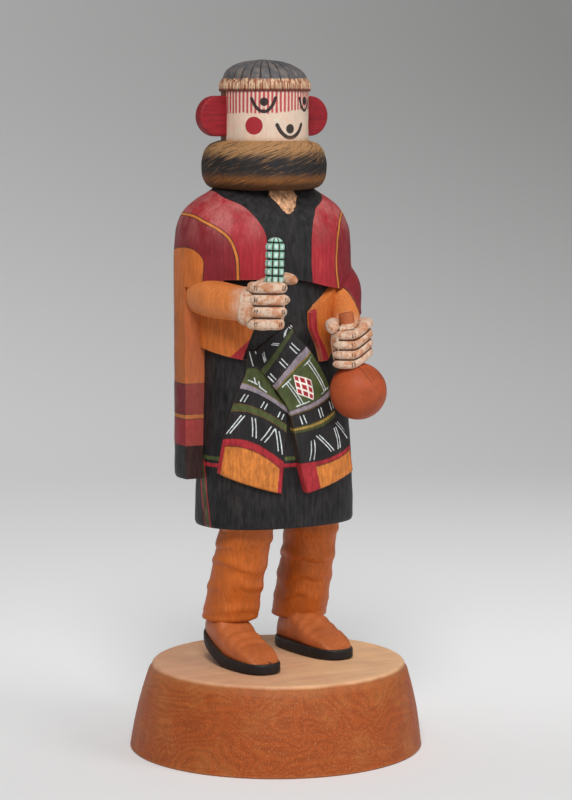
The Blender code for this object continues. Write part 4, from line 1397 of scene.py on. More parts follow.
class DOLL_OT_head(bpy.types.Operator):
    """Carve the head and paint its face"""

    bl_idname = "doll.head"
    bl_label = "Head"

    def execute(self, context):
        piece = upright("figure_head", HEAD, 400, sorted({*even(228, 258, 94), *even(258, 262, 5)}))
        _, _, points = turned_to(piece, HEAD)
        lines = [bowl(*line) for line in FACE_BOWLS]
        ink = stroke_field(points, lines, lambda turn, height: oval_point(HEAD, turn, height))
        for place in PUPILS_AND_TONGUE:
            ink = np.minimum(ink, spot(points, *place))
        write_field(piece, "ink", ink)
        write_field(piece, "light", spot(points, *EYE_LIGHT))
        write_field(piece, "cheek", np.minimum(*(spot(points, *cheek) for cheek in CHEEKS)))
        dress_figure(piece, face_paint())
        return {"FINISHED"}


class DOLL_OT_hair(bpy.types.Operator):
    """Carve the cap of hair, its grooves and the fringe"""

    bl_idname = "doll.hair"
    bl_label = "Hair"

    def execute(self, context):
        stroke, groove = relief().hair_stroke / UNIT, relief().hair_groove / UNIT

        def groove_at(u, radius):
            away = abs((u * HAIR_LOCKS + 0.5) % 1.0 - 0.5) / HAIR_LOCKS * math.tau * radius
            return math.exp(-((away / LOCK_GROOVE_WIDTH) ** 2))

        def fringe_rise(u, height):
            x, y = ring(20, math.tau * u)
            warp = 0.5 * unevenness(x, y, 0, 4.0, 3.0) + 0.12 * unevenness(x, y, height, 1.5, 4.0)
            cut = carved_line(FRINGE_STROKES * u + warp) * (0.6 + 0.5 * unevenness(x, y, height, 3.0, 8.0))
            fade = between(263.6, 261.0, height)
            locks = groove * groove_at(u, 20.5) * 0.35
            return -1.5 * stroke * cut * fade - locks + 0.15 * unevenness(x, y, 0, 5.0)

        def cap_rise(u, height):
            radius = blended(CAP, height)[2]
            fade = between(0.5, 4.0, radius)
            x, y = ring(radius, math.tau * u)
            return -groove * groove_at(u, radius) * fade + 0.1 * unevenness(x, y, height, 4.0)

        fringe_rows = sorted({*even(257.6, 258, 4), *even(258, 263.6, 22)})
        fringe = upright("fringe", FRINGE, 560, fringe_rows, fringe_rise)
        cap_rows = [262.0 + 10.0 * math.sin(math.pi / 2 * share) for share in even(0, 1, 54)]
        cap = upright("cap", CAP, 560, cap_rows, cap_rise)
        piece = joined("figure_hair", [fringe, cap])
        points = drawn_points(piece)
        x, y = points[:, 0] - CAP_CENTRE[0], points[:, 1] - CAP_CENTRE[1]
        turn = np.arctan2(y, x) / (2 * np.pi) * HAIR_LOCKS
        away = np.abs((turn + 0.5) % 1.0 - 0.5) / HAIR_LOCKS * 2 * np.pi * np.hypot(x, y)
        write_field(piece, "lock", away)
        write_field(piece, "height", points[:, 2])
        dress_figure(piece, hair_paint(), rounds=1)
        return {"FINISHED"}


class DOLL_OT_leggings(bpy.types.Operator):
    """Carve the leggings with their soft folds"""

    bl_idname = "doll.leggings"
    bl_label = "Leggings"

    def execute(self, context):
        depth = relief().fold / UNIT
        legs = []
        for seed, stations in ((0.0, RIGHT_LEG), (4.0, LEFT_LEG)):

            def rise(u, height, seed=seed, stations=stations):
                turn = math.radians(360 * u + FOLD_TURN)
                x, y = ring(12, turn)
                sway = 0.4 * unevenness(x, y, height, 10.0, seed)
                wave = height / FOLD_PITCH + FOLD_SLANT * math.sin(turn) + sway
                fade = between(20, 27, height) * between(74, 68, height)
                strength = max(0.5 + 1.1 * unevenness(x, y, height, 12.0, seed + 2), 0.0)
                crease = math.exp(-((((wave + 0.5) % 1.0 - 0.5) / 0.12) ** 2))
                soft = 0.7 * math.sin(math.tau * wave)
                hem = 0.35 * between(3.5, 1.5, height - stations[0][0])
                return depth * fade * (soft - 1.3 * strength * crease) + hem

            foot = stations[0][0]
            rows = sorted({*even(foot, foot + 1, 4), *even(foot + 1, 26, 26), *even(26, 74, 96)})
            legs.append(upright("leg", stations, 150, rows, rise))
        piece = joined("figure_leggings", legs)
        dress_figure(piece, legging_paint())
        return {"FINISHED"}


def sole_half_width(share):
    """Half width of the foot at a share of its length, from heel to toe."""
    full = HEEL_HALF_WIDTH + BALL_EXTRA_WIDTH * share
    return full * max(1 - abs(2 * share - 1) ** FOOT_SQUARENESS, 0.0) ** (1 / FOOT_SQUARENESS)


def foot_place(foot, share, across, height):
    """Place in a foot: a share of its length, a distance to its side and a height."""
    heel, toe, lift = foot
    heading = Vector((toe[0] - heel[0], toe[1] - heel[1]))
    side = Vector((-heading.y, heading.x)).normalized()
    raised = lift * max(1 - share / HEEL_LIFT_SHARE, 0.0) ** HEEL_LIFT_CURVE
    x, y = heel[0] + heading.x * share + side.x * across, heel[1] + heading.y * share + side.y * across
    return drawn(x, y, height + raised)


class DOLL_OT_moccasins(bpy.types.Operator):
    """Carve the soft shoes and their black soles"""

    bl_idname = "doll.moccasins"
    bl_label = "Moccasins"

    def execute(self, context):
        depth = relief().fold / UNIT
        floor = SOLE_THICKNESS - SHOE_DEPTH_IN_SOLE
        shoe_power, sole_power = 2 / SHOE_SQUARENESS, 2 / FOOT_SQUARENESS
        shoes, soles = [], []
        for foot in FEET.values():
            length = math.dist(foot[0], foot[1])

            def shoe(u, share, foot=foot):
                angle = math.tau * u
                end = max(1 - abs(2 * share - 1) ** SHOE_END_ROUNDNESS, SHOE_END_HEIGHT)
                half_height = (blended(SHOE_TOPS, share)[0] - floor) * end / 2
                upper = between(-0.3, 0.4, math.sin(angle))
                sway = 0.8 * unevenness(share * 30, math.cos(angle) * 8, foot[0][0], 9.0)
                fold = math.sin(math.tau * (share * 9 + 0.3 * math.cos(angle) + sway))
                instep = between(0.3, 0.4, share) * between(0.85, 0.7, share)
                wrinkle = depth * 0.28 * upper * fold * instep
                across = (sole_half_width(share) + wrinkle * 0.5) * signed_power(math.cos(angle), shoe_power)
                height = floor + (half_height + wrinkle) * (1 + signed_power(math.sin(angle), shoe_power))
                return foot_place(foot, share, across, height)

            def sole(u, height, foot=foot, length=length):
                angle = math.tau * u
                inset = 0.5 * (1 - between(0, 0.9, height)) + 0.35 * between(3.9, 4.6, height)
                welt = SOLE_WELT - inset
                share = (1 + signed_power(math.cos(angle), sole_power)) / 2
                half_width = HEEL_HALF_WIDTH + BALL_EXTRA_WIDTH * share + welt
                across = half_width * signed_power(math.sin(angle), sole_power)
                return foot_place(foot, share + (share - 1 / 2) * 2 * welt / length, across, height)

            middle_rows = ((1 - math.cos(math.pi * step / 110)) / 2 for step in range(6, 103))
            shoe_rows = sorted({0.006, 0.985, *middle_rows})
            sole_rows = sorted({*even(0, 0.9, 5), *even(0.9, 3.9, 8), *even(3.9, SOLE_THICKNESS, 4)})
            shoes.append(skin("shoe", shoe, 96, shoe_rows))
            soles.append(skin("sole", sole, 128, sole_rows))
        upper = joined("uppers", shoes)
        upper.data.materials.append(moccasin_paint())
        under = joined("soles", soles)
        under.data.materials.append(sole_paint())
        for piece in (upper, under):
            mark_edges(piece)
        piece = joined("figure_moccasins", [upper, under])
        dress_up(piece, "figure", slot="figure")
        return {"FINISHED"}


class DOLL_OT_ears(bpy.types.Operator):
    """Cut the two red ears with rounded edges"""

    bl_idname = "doll.ears"
    bl_label = "Ears"

    def execute(self, context):
        head_edge = HEAD_RADIUS * UNIT
        outer = head_edge + EAR_SHOWING_LENGTH - EAR_HALF_HEIGHT
        inner = head_edge - EAR_SET_IN
        middle = drawn(HEAD_AXIS[0], HEAD_AXIS[1] + EAR_BEHIND_AXIS, EAR_MIDDLE_HEIGHT)
        for name, side in (("ear_right", -1), ("ear_left", 1)):
            shape = bmesh.new()
            bmesh.ops.create_circle(shape, cap_ends=True, segments=128, radius=EAR_HALF_HEIGHT)
            for vert in shape.verts:
                reach = outer + vert.co.x if vert.co.x > -1e-7 else inner
                vert.co = Vector((reach, -EAR_THICKNESS / 2, vert.co.y))
            grown = bmesh.ops.extrude_face_region(shape, geom=shape.faces[:])
            moved = [part for part in grown["geom"] if isinstance(part, bmesh.types.BMVert)]
            bmesh.ops.translate(shape, verts=moved, vec=(0, EAR_THICKNESS, 0))
            shape.normal_update()
            bmesh.ops.recalc_face_normals(shape, faces=shape.faces)
            rim = [edge for edge in shape.edges if edge.calc_face_angle(0) > math.radians(40)]
            bmesh.ops.bevel(
                shape, geom=rim, offset=EAR_ROUNDING, offset_type="OFFSET", segments=6,
                profile=0.5, affect="EDGES", material=-1,
            )
            for step in even(inner + 0.0005, outer + EAR_HALF_HEIGHT - 0.0005, 24):
                cut = [*shape.verts, *shape.edges, *shape.faces]
                bmesh.ops.bisect_plane(shape, geom=cut, plane_co=(step, 0, 0), plane_no=(1, 0, 0))
            for step in even(-EAR_HALF_HEIGHT + 0.0005, EAR_HALF_HEIGHT - 0.0005, 24):
                cut = [*shape.verts, *shape.edges, *shape.faces]
                bmesh.ops.bisect_plane(shape, geom=cut, plane_co=(0, 0, step), plane_no=(0, 0, 1))
            marks = relief().tool_marks
            for vert in shape.verts:
                x, y, z = (value / MM for value in vert.co)
                vert.co.y += marks * unevenness(x, 0, z, 5.0, side) * (1 if y > 0 else -1)
                vert.co.x *= side
                vert.co += middle
            shape.normal_update()
            bmesh.ops.recalc_face_normals(shape, faces=shape.faces)
            piece = piece_from(name + "_carved", shape)
            mark_edges(piece)
            dress_up(piece, name, slot=name, material=ear_paint())
        return {"FINISHED"}


def round_place(foot, axis, along, radius, angle):
    side = axis.cross(Vector((0, 1, 0))).normalized()
    front = axis.cross(side)
    return foot + axis * along + (side * math.cos(angle) + front * math.sin(angle)) * radius


class DOLL_OT_cactus(bpy.types.Operator):
    """Carve the ribbed cactus in the right fist"""

    bl_idname = "doll.cactus"
    bl_label = "Cactus"

    def execute(self, context):
        foot, axis = drawn(*CACTUS_FOOT), Vector(CACTUS_LEAN).normalized()

        def surface(u, along):
            angle = math.tau * u
            rib = abs(math.sin(CACTUS_RIBS * angle / 2))
            joint = abs(math.sin(math.pi * (CACTUS_LENGTH - CACTUS_TOP_JOINT - along) / CACTUS_JOINT_PITCH))
            radius = CACTUS_RADIUS - 0.0011 * (1 - rib) ** 3 - 0.0009 * (1 - joint) ** 3
            left = CACTUS_LENGTH - along
            if left < CACTUS_RADIUS:
                radius *= max(math.sqrt(1 - (1 - left / CACTUS_RADIUS) ** 2), 0.02)
            radius += 0.0001 * unevenness(*ring(8, angle), along / MM, 2.5)
            return round_place(foot, axis, along, radius, angle)

        rows = even(-CACTUS_SET_IN, CACTUS_LENGTH - 0.001, 110)
        rows += even(CACTUS_LENGTH - 0.0009, CACTUS_LENGTH, 14)
        piece = skin("cactus_carved", surface, 192, rows)
        mark_edges(piece, rounds=3)
        dress_up(piece, "cactus", slot="cactus", material=cactus_paint())
        return {"FINISHED"}


class DOLL_OT_rattle(bpy.types.Operator):
    """Turn the gourd rattle and its handle"""

    bl_idname = "doll.rattle"
    bl_label = "Rattle"

    def execute(self, context):
        foot, axis = drawn(*GOURD_CENTRE), Vector(HANDLE_LEAN).normalized()
        neck = math.acos(HANDLE_RADIUS / GOURD_RADIUS)
        turns = even(-1.55, neck, 90)
        rows = [(GOURD_RADIUS * math.sin(turn), GOURD_RADIUS * math.cos(turn)) for turn in turns]
        chamfer = HANDLE_END_CHAMFER
        start, top = rows[-1][0], HANDLE_ABOVE_GOURD
        rows += [(along, HANDLE_RADIUS) for along in even(start + 0.0005, top - chamfer, 30)]
        rows += [
            (top - chamfer * (1 - math.sin(turn)), HANDLE_RADIUS - chamfer * (1 - math.cos(turn)))
            for turn in even(0.2, math.pi / 2, 5)
        ]
        marks = relief().tool_marks

        def surface(u, place):
            along, radius = rows[round(place)]
            angle = math.tau * u
            radius += marks * unevenness(*ring(9, angle), along / MM, 6.0) * 0.8
            return round_place(foot, axis, along, radius, angle)

        piece = skin("rattle_carved", surface, 160, list(range(len(rows))))
        points = points_of(piece.data) - np.array(foot)
        along = points @ np.array(axis)
        write_field(piece, "along", along / MM)
        line = np.array([
            round_place(Vector(), axis, height * MM, math.sqrt(GOURD_RADIUS**2 - (height * MM) ** 2), turn)
            for turn, height in GOURD_CRACK
        ])
        write_field(piece, "crack", distance_to_path(points, line) / MM)
        mark_edges(piece)
        dress_up(piece, "rattle", slot="rattle", material=rattle_paint())
        return {"FINISHED"}


class DOLL_OT_studio(bpy.types.Operator):
    """Set up the sweep of paper, the soft lights and the camera"""

    bl_idname = "doll.studio"
    bl_label = "Studio"

    def execute(self, context):
        light = context.scene.doll_light
        sin, cos = math.sin(CAMERA_TURN), math.cos(CAMERA_TURN)
        shape = bmesh.new()
        bmesh.ops.create_grid(shape, x_segments=4, y_segments=80, size=1.0)
        radius, flat = SWEEP_RADIUS, SWEEP_FLAT_LENGTH
        for vert in shape.verts:
            along = vert.co.y * SWEEP_HALF_LENGTH
            x, y, z = vert.co.x * SWEEP_HALF_WIDTH, along, 0.0
            if along > flat:
                angle = min((along - flat) / radius, math.pi / 2)
                y = flat + radius * math.sin(angle)
                z = radius * (1 - math.cos(angle)) + max(along - flat - radius * math.pi / 2, 0)
            vert.co = Vector((x * cos - y * sin, x * sin + y * cos, z))
        floor = piece_from("floor_sweep", shape)
        floor.data.materials.append(floor_finish())

        def lamp(name, place, size, power):
            data = bpy.data.lights.new(name, "AREA")
            data.shape = "DISK"
            data.size = size
            data.energy = power
            made = bpy.data.objects.new(name, data)
            across, away, up = place
            made.location = (across * cos + away * sin, across * sin - away * cos, up)
            aim = LAMP_AIM - made.location
            made.rotation_euler = aim.to_track_quat("-Z", "Y").to_euler()
            context.scene.collection.objects.link(made)

        lamp("key", *KEY_LAMP, light.key)
        lamp("fill", *FILL_LAMP, light.fill)
        world = bpy.data.worlds.new("room")
        world.use_nodes = True
        background = world.node_tree.nodes["Background"]
        background.inputs["Color"].default_value = (1, 1, 1, 1)
        background.inputs["Strength"].default_value = light.room
        context.scene.world = world
        context.scene.view_settings.view_transform = "Standard"
        data = bpy.data.cameras.new("camera")
        data.sensor_width = SENSOR_WIDTH
        data.sensor_fit = "AUTO"
        data.lens = SENSOR_WIDTH * LENS_PER_WIDTH
        camera = bpy.data.objects.new("camera", data)
        camera.location = (
            sin * CAMERA_DISTANCE + cos * CAMERA_SIDE_STEP,
            -cos * CAMERA_DISTANCE + sin * CAMERA_SIDE_STEP,
            CAMERA_HEIGHT,
        )
        camera.rotation_euler = (math.pi / 2 - CAMERA_PITCH, 0, CAMERA_TURN)
        context.scene.collection.objects.link(camera)
        context.scene.camera = camera
        return {"FINISHED"}


def plinth_wood():
    paint = Paint("plinth wood")
    x, y, z = paint.parts(paint.object_place)
    patch = paint.noise(55.0, 4.0, seed=9.0)
    side = (z + (patch - 0.5) * 0.0012).step(BASE_HEIGHT - 0.0001, BASE_HEIGHT - 0.0017)
    wave = paint.noise(17.0, 2.0, (1.0, 1.0, 1.8), warp=0.8)
    rings = (wave * 120.0 + z * 1500.0).sine() * 0.5 + 0.5
    streak = paint.noise(240.0, 4.0, (0.25, 0.25, 2.0), warp=0.3)
    fibre = paint.noise(900.0, 3.0, (0.15, 1.0, 1.0), seed=2.0)
    pores = paint.noise(2100.0, 3.0, (1.0, 1.0, 0.45), seed=4.0)
    tone = 0.50 + streak * 0.36 + rings * 0.20 + pores * 0.46
    sides = paint.mix(patch.step(0.42, 0.72) * 0.6, colour_of("plinth"), SIDE_PATCH)
    sides = paint.scaled(sides, tone)
    sides = paint.mix((pores - 0.55).step(0.0, 0.12) * 0.4, sides, SIDE_PORE)
    sides = paint.mix(z.step(BASE_HEIGHT - 0.006, BASE_HEIGHT - 0.001) * 0.35, sides, SIDE_UNDER_RIM)
    top_wave = (paint.noise(30.0, 2.0, (0.35, 1.6, 1.0), seed=6.0) * 30.0).sine() * 0.5 + 0.5
    # Painted light: the top is darker towards the left and lighter towards the right
    lighter = (x * 9.0 - y * 3.0 + (patch - 0.5) * 1.4).step(-0.5, 0.6)
    top_painted_light = paint.mix(lighter, TOP_SHADED_LEFT_TONE, TOP_LIT_RIGHT_TONE)
    top = paint.scaled(top_painted_light, 0.80 + fibre * 0.24 + top_wave * 0.08 + pores * 0.12)
    mixed = paint.mix(side, top, sides)
    edge = paint.field("edge")
    mixed = paint.mix(edge.step(0.05, 0.3) * 0.25, mixed, RIM_TONE)
    height = (streak - 0.5) * 0.3 + (pores - 0.5) * 0.2
    return paint.finish(mixed, 0.42 + streak * 0.2, height)


def painted(name, colour_name, roughness=0.55, **wear):
    """Plain coat of one colour, worn."""
    paint = Paint(name)
    colour = paint.weathered(colour_of(colour_name), **wear)
    rough = roughness + paint.sway(160.0, seed=8.0) * 0.3
    return paint.finish(colour, rough, paint.wood_bump())


def shawl_paint():
    paint = Paint("shawl paint")
    height, yoke, piping = (paint.field(name) for name in ("height", "yoke", "piping"))
    field, neck, seam = (paint.field(name) for name in ("field", "neck", "seam"))
    ragged = paint.sway(700.0) * 0.35
    soft = 0.12
    colour = paint.mix((field + ragged).step(-soft, soft), colour_of("orange"), colour_of("plum"))
    colour = paint.mix((piping + ragged).step(-soft, soft), colour, colour_of("red"))
    line = (PIPING_WIDTH / 2 - abs(piping) + ragged * 0.5).step(-soft, soft)
    worn_red = paint.noise(120.0, 4.0, (1.0, 1.0, 0.5), seed=14.0).step(0.36, 0.66) * height.step(186, 207)
    colour = paint.mix(worn_red * 0.55 * field.step(-1, 1), colour, WORN_RED)
    colour = paint.mix(line, colour, colour_of("yellow"))
    for border in (field + ragged, abs(piping) - PIPING_WIDTH / 2 - ragged * 0.5):
        colour = outlined(paint, colour, border)
    colour = paint.mix((yoke + ragged * 0.6).step(-soft, soft), colour, colour_of("black"))
    plum_top, line_top, line_foot, black_top = PANEL_BANDS
    panel = height + ragged
    for top, name in ((plum_top, "plum"), (line_top, "yellow"), (line_foot, "red"), (black_top, "black")):
        colour = paint.mix(panel.step(top + soft, top - soft), colour, colour_of(name))
        colour = outlined(paint, colour, panel - top)
    colour = outlined(paint, colour, neck + ragged * 1.5, 0.4, 0.9)
    colour = paint.mix((neck + ragged * 0.8).step(-soft, soft), colour, NECK_WOOD)
    colour = paint.mix(seam.step(0.38, 0.18) * neck.step(0.1, -0.1), colour, SEAM_TONE)
    lighter = paint.noise(150.0, 4.0, (1.0, 1.0, 0.2), seed=9.0)
    # Random lighter patches, and painted shade: the shawl darkens below the forearms, from drawn height 172
    # down to 150
    colour = paint.scaled(colour, (0.86 + lighter * 0.3) * (1.0 - height.step(172, 150) * 0.22))
    black = (yoke + ragged * 0.6).step(-soft, soft).most(panel.step(black_top + soft, black_top - soft))
    grain = paint.noise(620.0, 4.0, (1.0, 1.0, 0.22), seed=21.0) - 0.5
    colour = paint.scaled(colour, 1.0 + black * grain * 3.4)
    colour = paint.weathered(colour, streaks=0.36, worn=0.32 - black * 0.26, bare=BARE_SHAWL)
    rough = 0.5 + paint.sway(160.0, seed=8.0) * 0.35
    bump = paint.wood_bump(0.16) - line * 0.12 - seam.step(0.5, 0.0) * 0.2
    return paint.finish(colour, rough, bump)


def dress_paint():
    paint = Paint("dress paint")
    u, height = paint.along_piece()
    ragged = paint.sway(700.0) * 0.5
    line = height + ragged
    colour = colour_of("black")
    for middle, half, name in ((95.5, 0.85, "green"), (92.4, 0.85, "red")):
        colour = paint.mix((half - abs(line - middle)).step(-0.15, 0.15), colour, colour_of(name))
    turn = u * 360.0 + ragged * 0.6
    centre = 177.6 + (92.3 - height) * 0.367
    away = abs(turn - centre)
    below = height.step(94.4, 94.0)
    colour = paint.mix(away.step(4.7, 4.3) * below, colour, colour_of("red"))
    colour = paint.mix(away.step(3.4, 3.0) * below, colour, DARK_OLIVE)
    grain = paint.noise(620.0, 4.0, (1.0, 1.0, 0.22), seed=21.0) - 0.5
    colour = paint.scaled(colour, 1.0 + grain * 3.4)
    colour = paint.weathered(colour, streaks=0.4, blotches=0.45, worn=0.3, bare=BARE_DRESS)
    rough = 0.5 + paint.sway(120.0, seed=8.0) * 0.3
    return paint.finish(colour, rough, paint.wood_bump(0.18))


def lining_paint():
    paint = Paint("lining paint")
    border = paint.field("border")
    ragged = paint.sway(600.0) * 0.5
    colour = paint.mix((border + ragged).step(2.5, 2.2), colour_of("orange"), colour_of("red"))
    colour = paint.weathered(colour, streaks=0.4, worn=0.35)
    return paint.finish(colour, 0.5, paint.wood_bump(0.14))


def outlined(paint, colour, distance, half_width=0.22, strength=0.75):
    """Thin dark line along a border, cut and stained; under the sleeve's hem it is painted shadow."""
    broken = 0.55 + paint.noise(500.0, 2.0, seed=11.0) * 0.9
    line = abs(distance).step(half_width * 1.7, half_width * 0.5)
    return paint.mix(line * broken * strength, colour, BORDER_LINE)


def banded(paint, value, first, bands, soft):
    """Colours one below the other, each from its own limit on, with a dark line between two of them."""
    colour = colour_of(first)
    for limit, name in bands:
        colour = paint.mix(value.step(limit - soft, limit + soft), colour, colour_of(name))
    for limit, name in bands:
        colour = outlined(paint, colour, value - limit, 0.0032, 0.6)
    return colour


def sash_paint(name, first, bands, border, extra=None):
    paint = Paint(name)
    down, across = paint.field("down"), paint.field("across")
    ragged = paint.sway(650.0)
    value = down + ragged * 0.006
    colour = banded(paint, value, first, bands, 0.0018)
    limit, left, right = border
    soft = 0.012
    place = across + ragged * soft
    sides = place.step(left, left - soft).most(place.step(right, right + soft))
    colour = paint.mix(sides * down.step(limit - 0.002, limit + 0.002), colour, colour_of("red"))
    if extra:
        colour = extra(paint, across, down, colour)
    stroke = paint.field("stroke") + ragged * 0.28
    colour = paint.mix(stroke.step(0.10, -0.08) * 0.94, colour, colour_of("white"))
    colour = paint.scaled(colour, 1.0 + paint.sway(560.0, 4.0, (1.0, 1.0, 0.4), seed=21.0) * 1.3)
    colour = paint.weathered(colour, streaks=0.34, blotches=0.34, worn=0.16)
    rough = 0.5 + paint.sway(160.0, seed=8.0) * 0.3
    return paint.finish(colour, rough, paint.wood_bump(0.14) + stroke.step(0.1, -0.1) * 0.05)


def under_sash_paint():
    bands = (
        (0.165, "green"), (0.355, "ochre"), (0.365, "mauve"), (0.435, "black"), (0.572, "ochre"),
        (0.578, "green"), (0.625, "ochre"), (0.631, "black"), (0.796, "red"), (0.841, "yellow"),
    )
    return sash_paint("under sash paint", "black", bands, (0.796, 0.085, 0.935))


def upper_sash_paint():
    seventh = 1 / 7
    bands = (
        (seventh - 0.022, "green"), (seventh + 0.024, "black"), (2 * seventh - 0.008, "mauve"),
        (3 * seventh - 0.024, "ochre"), (3 * seventh - 0.006, "green"), (4 * seventh + 0.010, "mauve"),
        (4 * seventh + 0.040, "ochre"), (4 * seventh + 0.046, "black"), (5 * seventh - 0.016, "green"),
        (5 * seventh - 0.010, "ochre"), (5 * seventh + 0.007, "green"), (5 * seventh + 0.018, "black"),
        (6 * seventh + 0.002, "red"), (6 * seventh + 0.024, "yellow"),
    )

    def lozenge(paint, across, down, colour):
        x, y = across - 0.488, (down - 3.53 * seventh) / seventh
        slant = x * 3.2 + y * 0.98
        other = y * 1.20 - x * 2.58
        inside = abs(slant).most(abs(other)).step(0.53, 0.49)
        cells = [abs((value * 3 + 0.5).fraction() - 0.5) for value in (slant, other)]
        red = cells[0].most(cells[1]).step(0.40, 0.30)
        pattern = paint.mix(red, PALE_CELL, colour_of("red"))
        return paint.mix(inside, colour, pattern)

    return sash_paint("upper sash paint", "black", bands, (6 * seventh + 0.002, 0.19, 0.955), lozenge)


def arm_paint():
    paint = Paint("arm stain")
    wrist = paint.field("wrist")
    mask = (wrist + paint.sway(260.0, seed=2.0) * 7.0).step(13.0, 4.0) * 0.85
    colour = paint.mix(mask, colour_of("skin"), colour_of("bone"))
    sleeve = paint.field("sleeve") + paint.sway(500.0, seed=6.0) * 0.4
    # Painted shadow: a dark line just below the sleeve's hem
    colour = outlined(paint, colour, sleeve + 0.35, 0.4, 0.9)
    colour = paint.mix(sleeve.step(-0.1, 0.1), colour, colour_of("plum"))
    colour = paint.weathered(colour, streaks=0.25, worn=0.15)
    return paint.finish(colour, 0.5, paint.wood_bump(0.12))


def hand_paint():
    paint = Paint("hand paint")
    edge, tick, nail = paint.field("edge"), paint.field("tick"), paint.field("nail")
    blotch = paint.noise(210.0, 5.0, seed=4.0)
    fine = paint.noise(620.0, 4.0, seed=5.0)
    rubbed = (blotch * 0.6 + fine * 0.4).step(0.44, 0.58)
    colour = paint.mix(rubbed * 0.85, colour_of("bone"), HAND_WOOD)
    colour = paint.mix(fine.step(0.58, 0.70) * 0.5, colour, HAND_PORE)
    colour = paint.mix(nail.step(0.3, -0.3) * 0.8, colour, NAIL_TONE)
    # Painted shade in the creases between the fingers
    colour = paint.mix(edge.step(-0.03, -0.26) * 0.95, colour, FINGER_CREASE_SHADE)
    colour = paint.mix((tick + (fine - 0.5) * 1.6).step(0.10, -0.14) * 0.8, colour, KNUCKLE_TICK)
    colour = paint.mix(edge.step(0.12, 0.5) * 0.35, colour, FINGER_HIGHLIGHT)
    streak = paint.noise(900.0, 4.0, (1.0, 1.0, 0.2))
    colour = paint.scaled(colour, 0.80 + streak * 0.36)
    return paint.finish(colour, 0.58, paint.wood_bump(0.1) + (fine - 0.5) * 0.12)


def ruff_paint():
    paint = Paint("ruff paint")
    u, height = paint.along_piece()
    across_hair, along_hair = height * RUFF_STROKES_PER_HEIGHT - u * RUFF_STROKES, u * 14.0 + height * 0.06
    tuft = paint.noise(0.8, 3.0, place=paint.vector(across_hair, along_hair, 0.0))
    hair = paint.noise(3.2, 3.0, place=paint.vector(across_hair, along_hair * 0.5, 3.0))
    ragged = height + (tuft - 0.5) * 7.0 + (hair - 0.5) * 5.0
    colour = paint.mix(ragged.step(218.0, 222.6), RUFF_BROWN, RUFF_DARK)
    colour = paint.mix(ragged.step(227.6, 232.4), colour, colour_of("tan"))
    gold = (hair * 0.6 + tuft * 0.4).step(0.53, 0.64)
    colour = paint.mix(gold * 0.5, colour, RUFF_GOLD)
    colour = paint.mix((hair * 0.8 + tuft * 0.2).step(0.47, 0.39) * 0.8, colour, RUFF_GAP)
    colour = paint.mix(height.step(219.0, 216.2) * 0.8, colour, RUFF_FOOT)
    edge = paint.field("edge")
    colour = paint.mix(edge.step(0.2, 1.0) * 0.25, colour, RUFF_RIDGE)
    colour = paint.mix(edge.step(-0.1, -0.8) * 0.7, colour, RUFF_GROOVE)
    colour = paint.scaled(colour, 0.60 + hair * 0.85)
    return paint.finish(colour, 0.62, (hair - 0.5) * 0.3)


def face_paint():
    paint = Paint("face paint")
    u, height = paint.along_piece()
    ink, light, cheek = paint.field("ink"), paint.field("light"), paint.field("cheek")
    ragged = paint.sway(900.0)
    arc = (u * 360.0 - 270.0) * (math.pi / 180 * HEAD_RADIUS)
    mottle = paint.noise(190.0, 4.0, seed=3.0)
    colour = paint.mix(mottle.step(0.45, 0.7) * 0.5, colour_of("cream"), FLUSH)
    colour = paint.mix(paint.noise(230.0, seed=12.0).step(0.56, 0.72) * 0.3, colour, GREEN_TINGE)
    wander = paint.sway(120.0, 2.0, (1.0, 1.0, 0.3), seed=5.0) * 0.5
    column = arc / 1.9 + wander
    stripe = 0.27 - abs(column.fraction() - 0.5) + ragged * 0.16
    ends = paint.noise(1.0, 0.0, place=paint.vector(column.floor() * 3.7, 0.0, 0.0))
    foot = 248.2 + arc.step(-8.0, 14.0) * 1.9 + (ends - 0.5) * 2.2
    red = stripe.step(-0.05, 0.05) * (height - foot).step(-0.5, 0.4)
    colour = paint.mix(red * 0.92, colour, STRIPE_RED)
    back = (abs(arc) + ragged * 1.2).step(30.5, 31.1)
    colour = paint.mix((cheek + ragged * 0.45).step(0.12, -0.12), colour, colour_of("red"))
    black = (ink + ragged * 0.3).step(0.12, -0.12)
    colour = paint.mix(light.step(0.2, -0.2) * 0.6, colour, colour_of("cream"))
    colour = paint.mix(black * 0.97, colour, INK)
    colour = paint.mix((height + ragged * 3).step(238.6, 234.6) * 0.6, colour, CHIN_SHADE)
    colour = paint.mix(back, colour, BACK_OF_HEAD)
    streak = paint.noise(1000.0, 4.0, (1.0, 1.0, 0.14))
    colour = paint.scaled(colour, 0.74 + streak * 0.28 + mottle * 0.2)
    return paint.finish(colour, 0.55, paint.wood_bump(0.12) + (black + red) * 0.03)


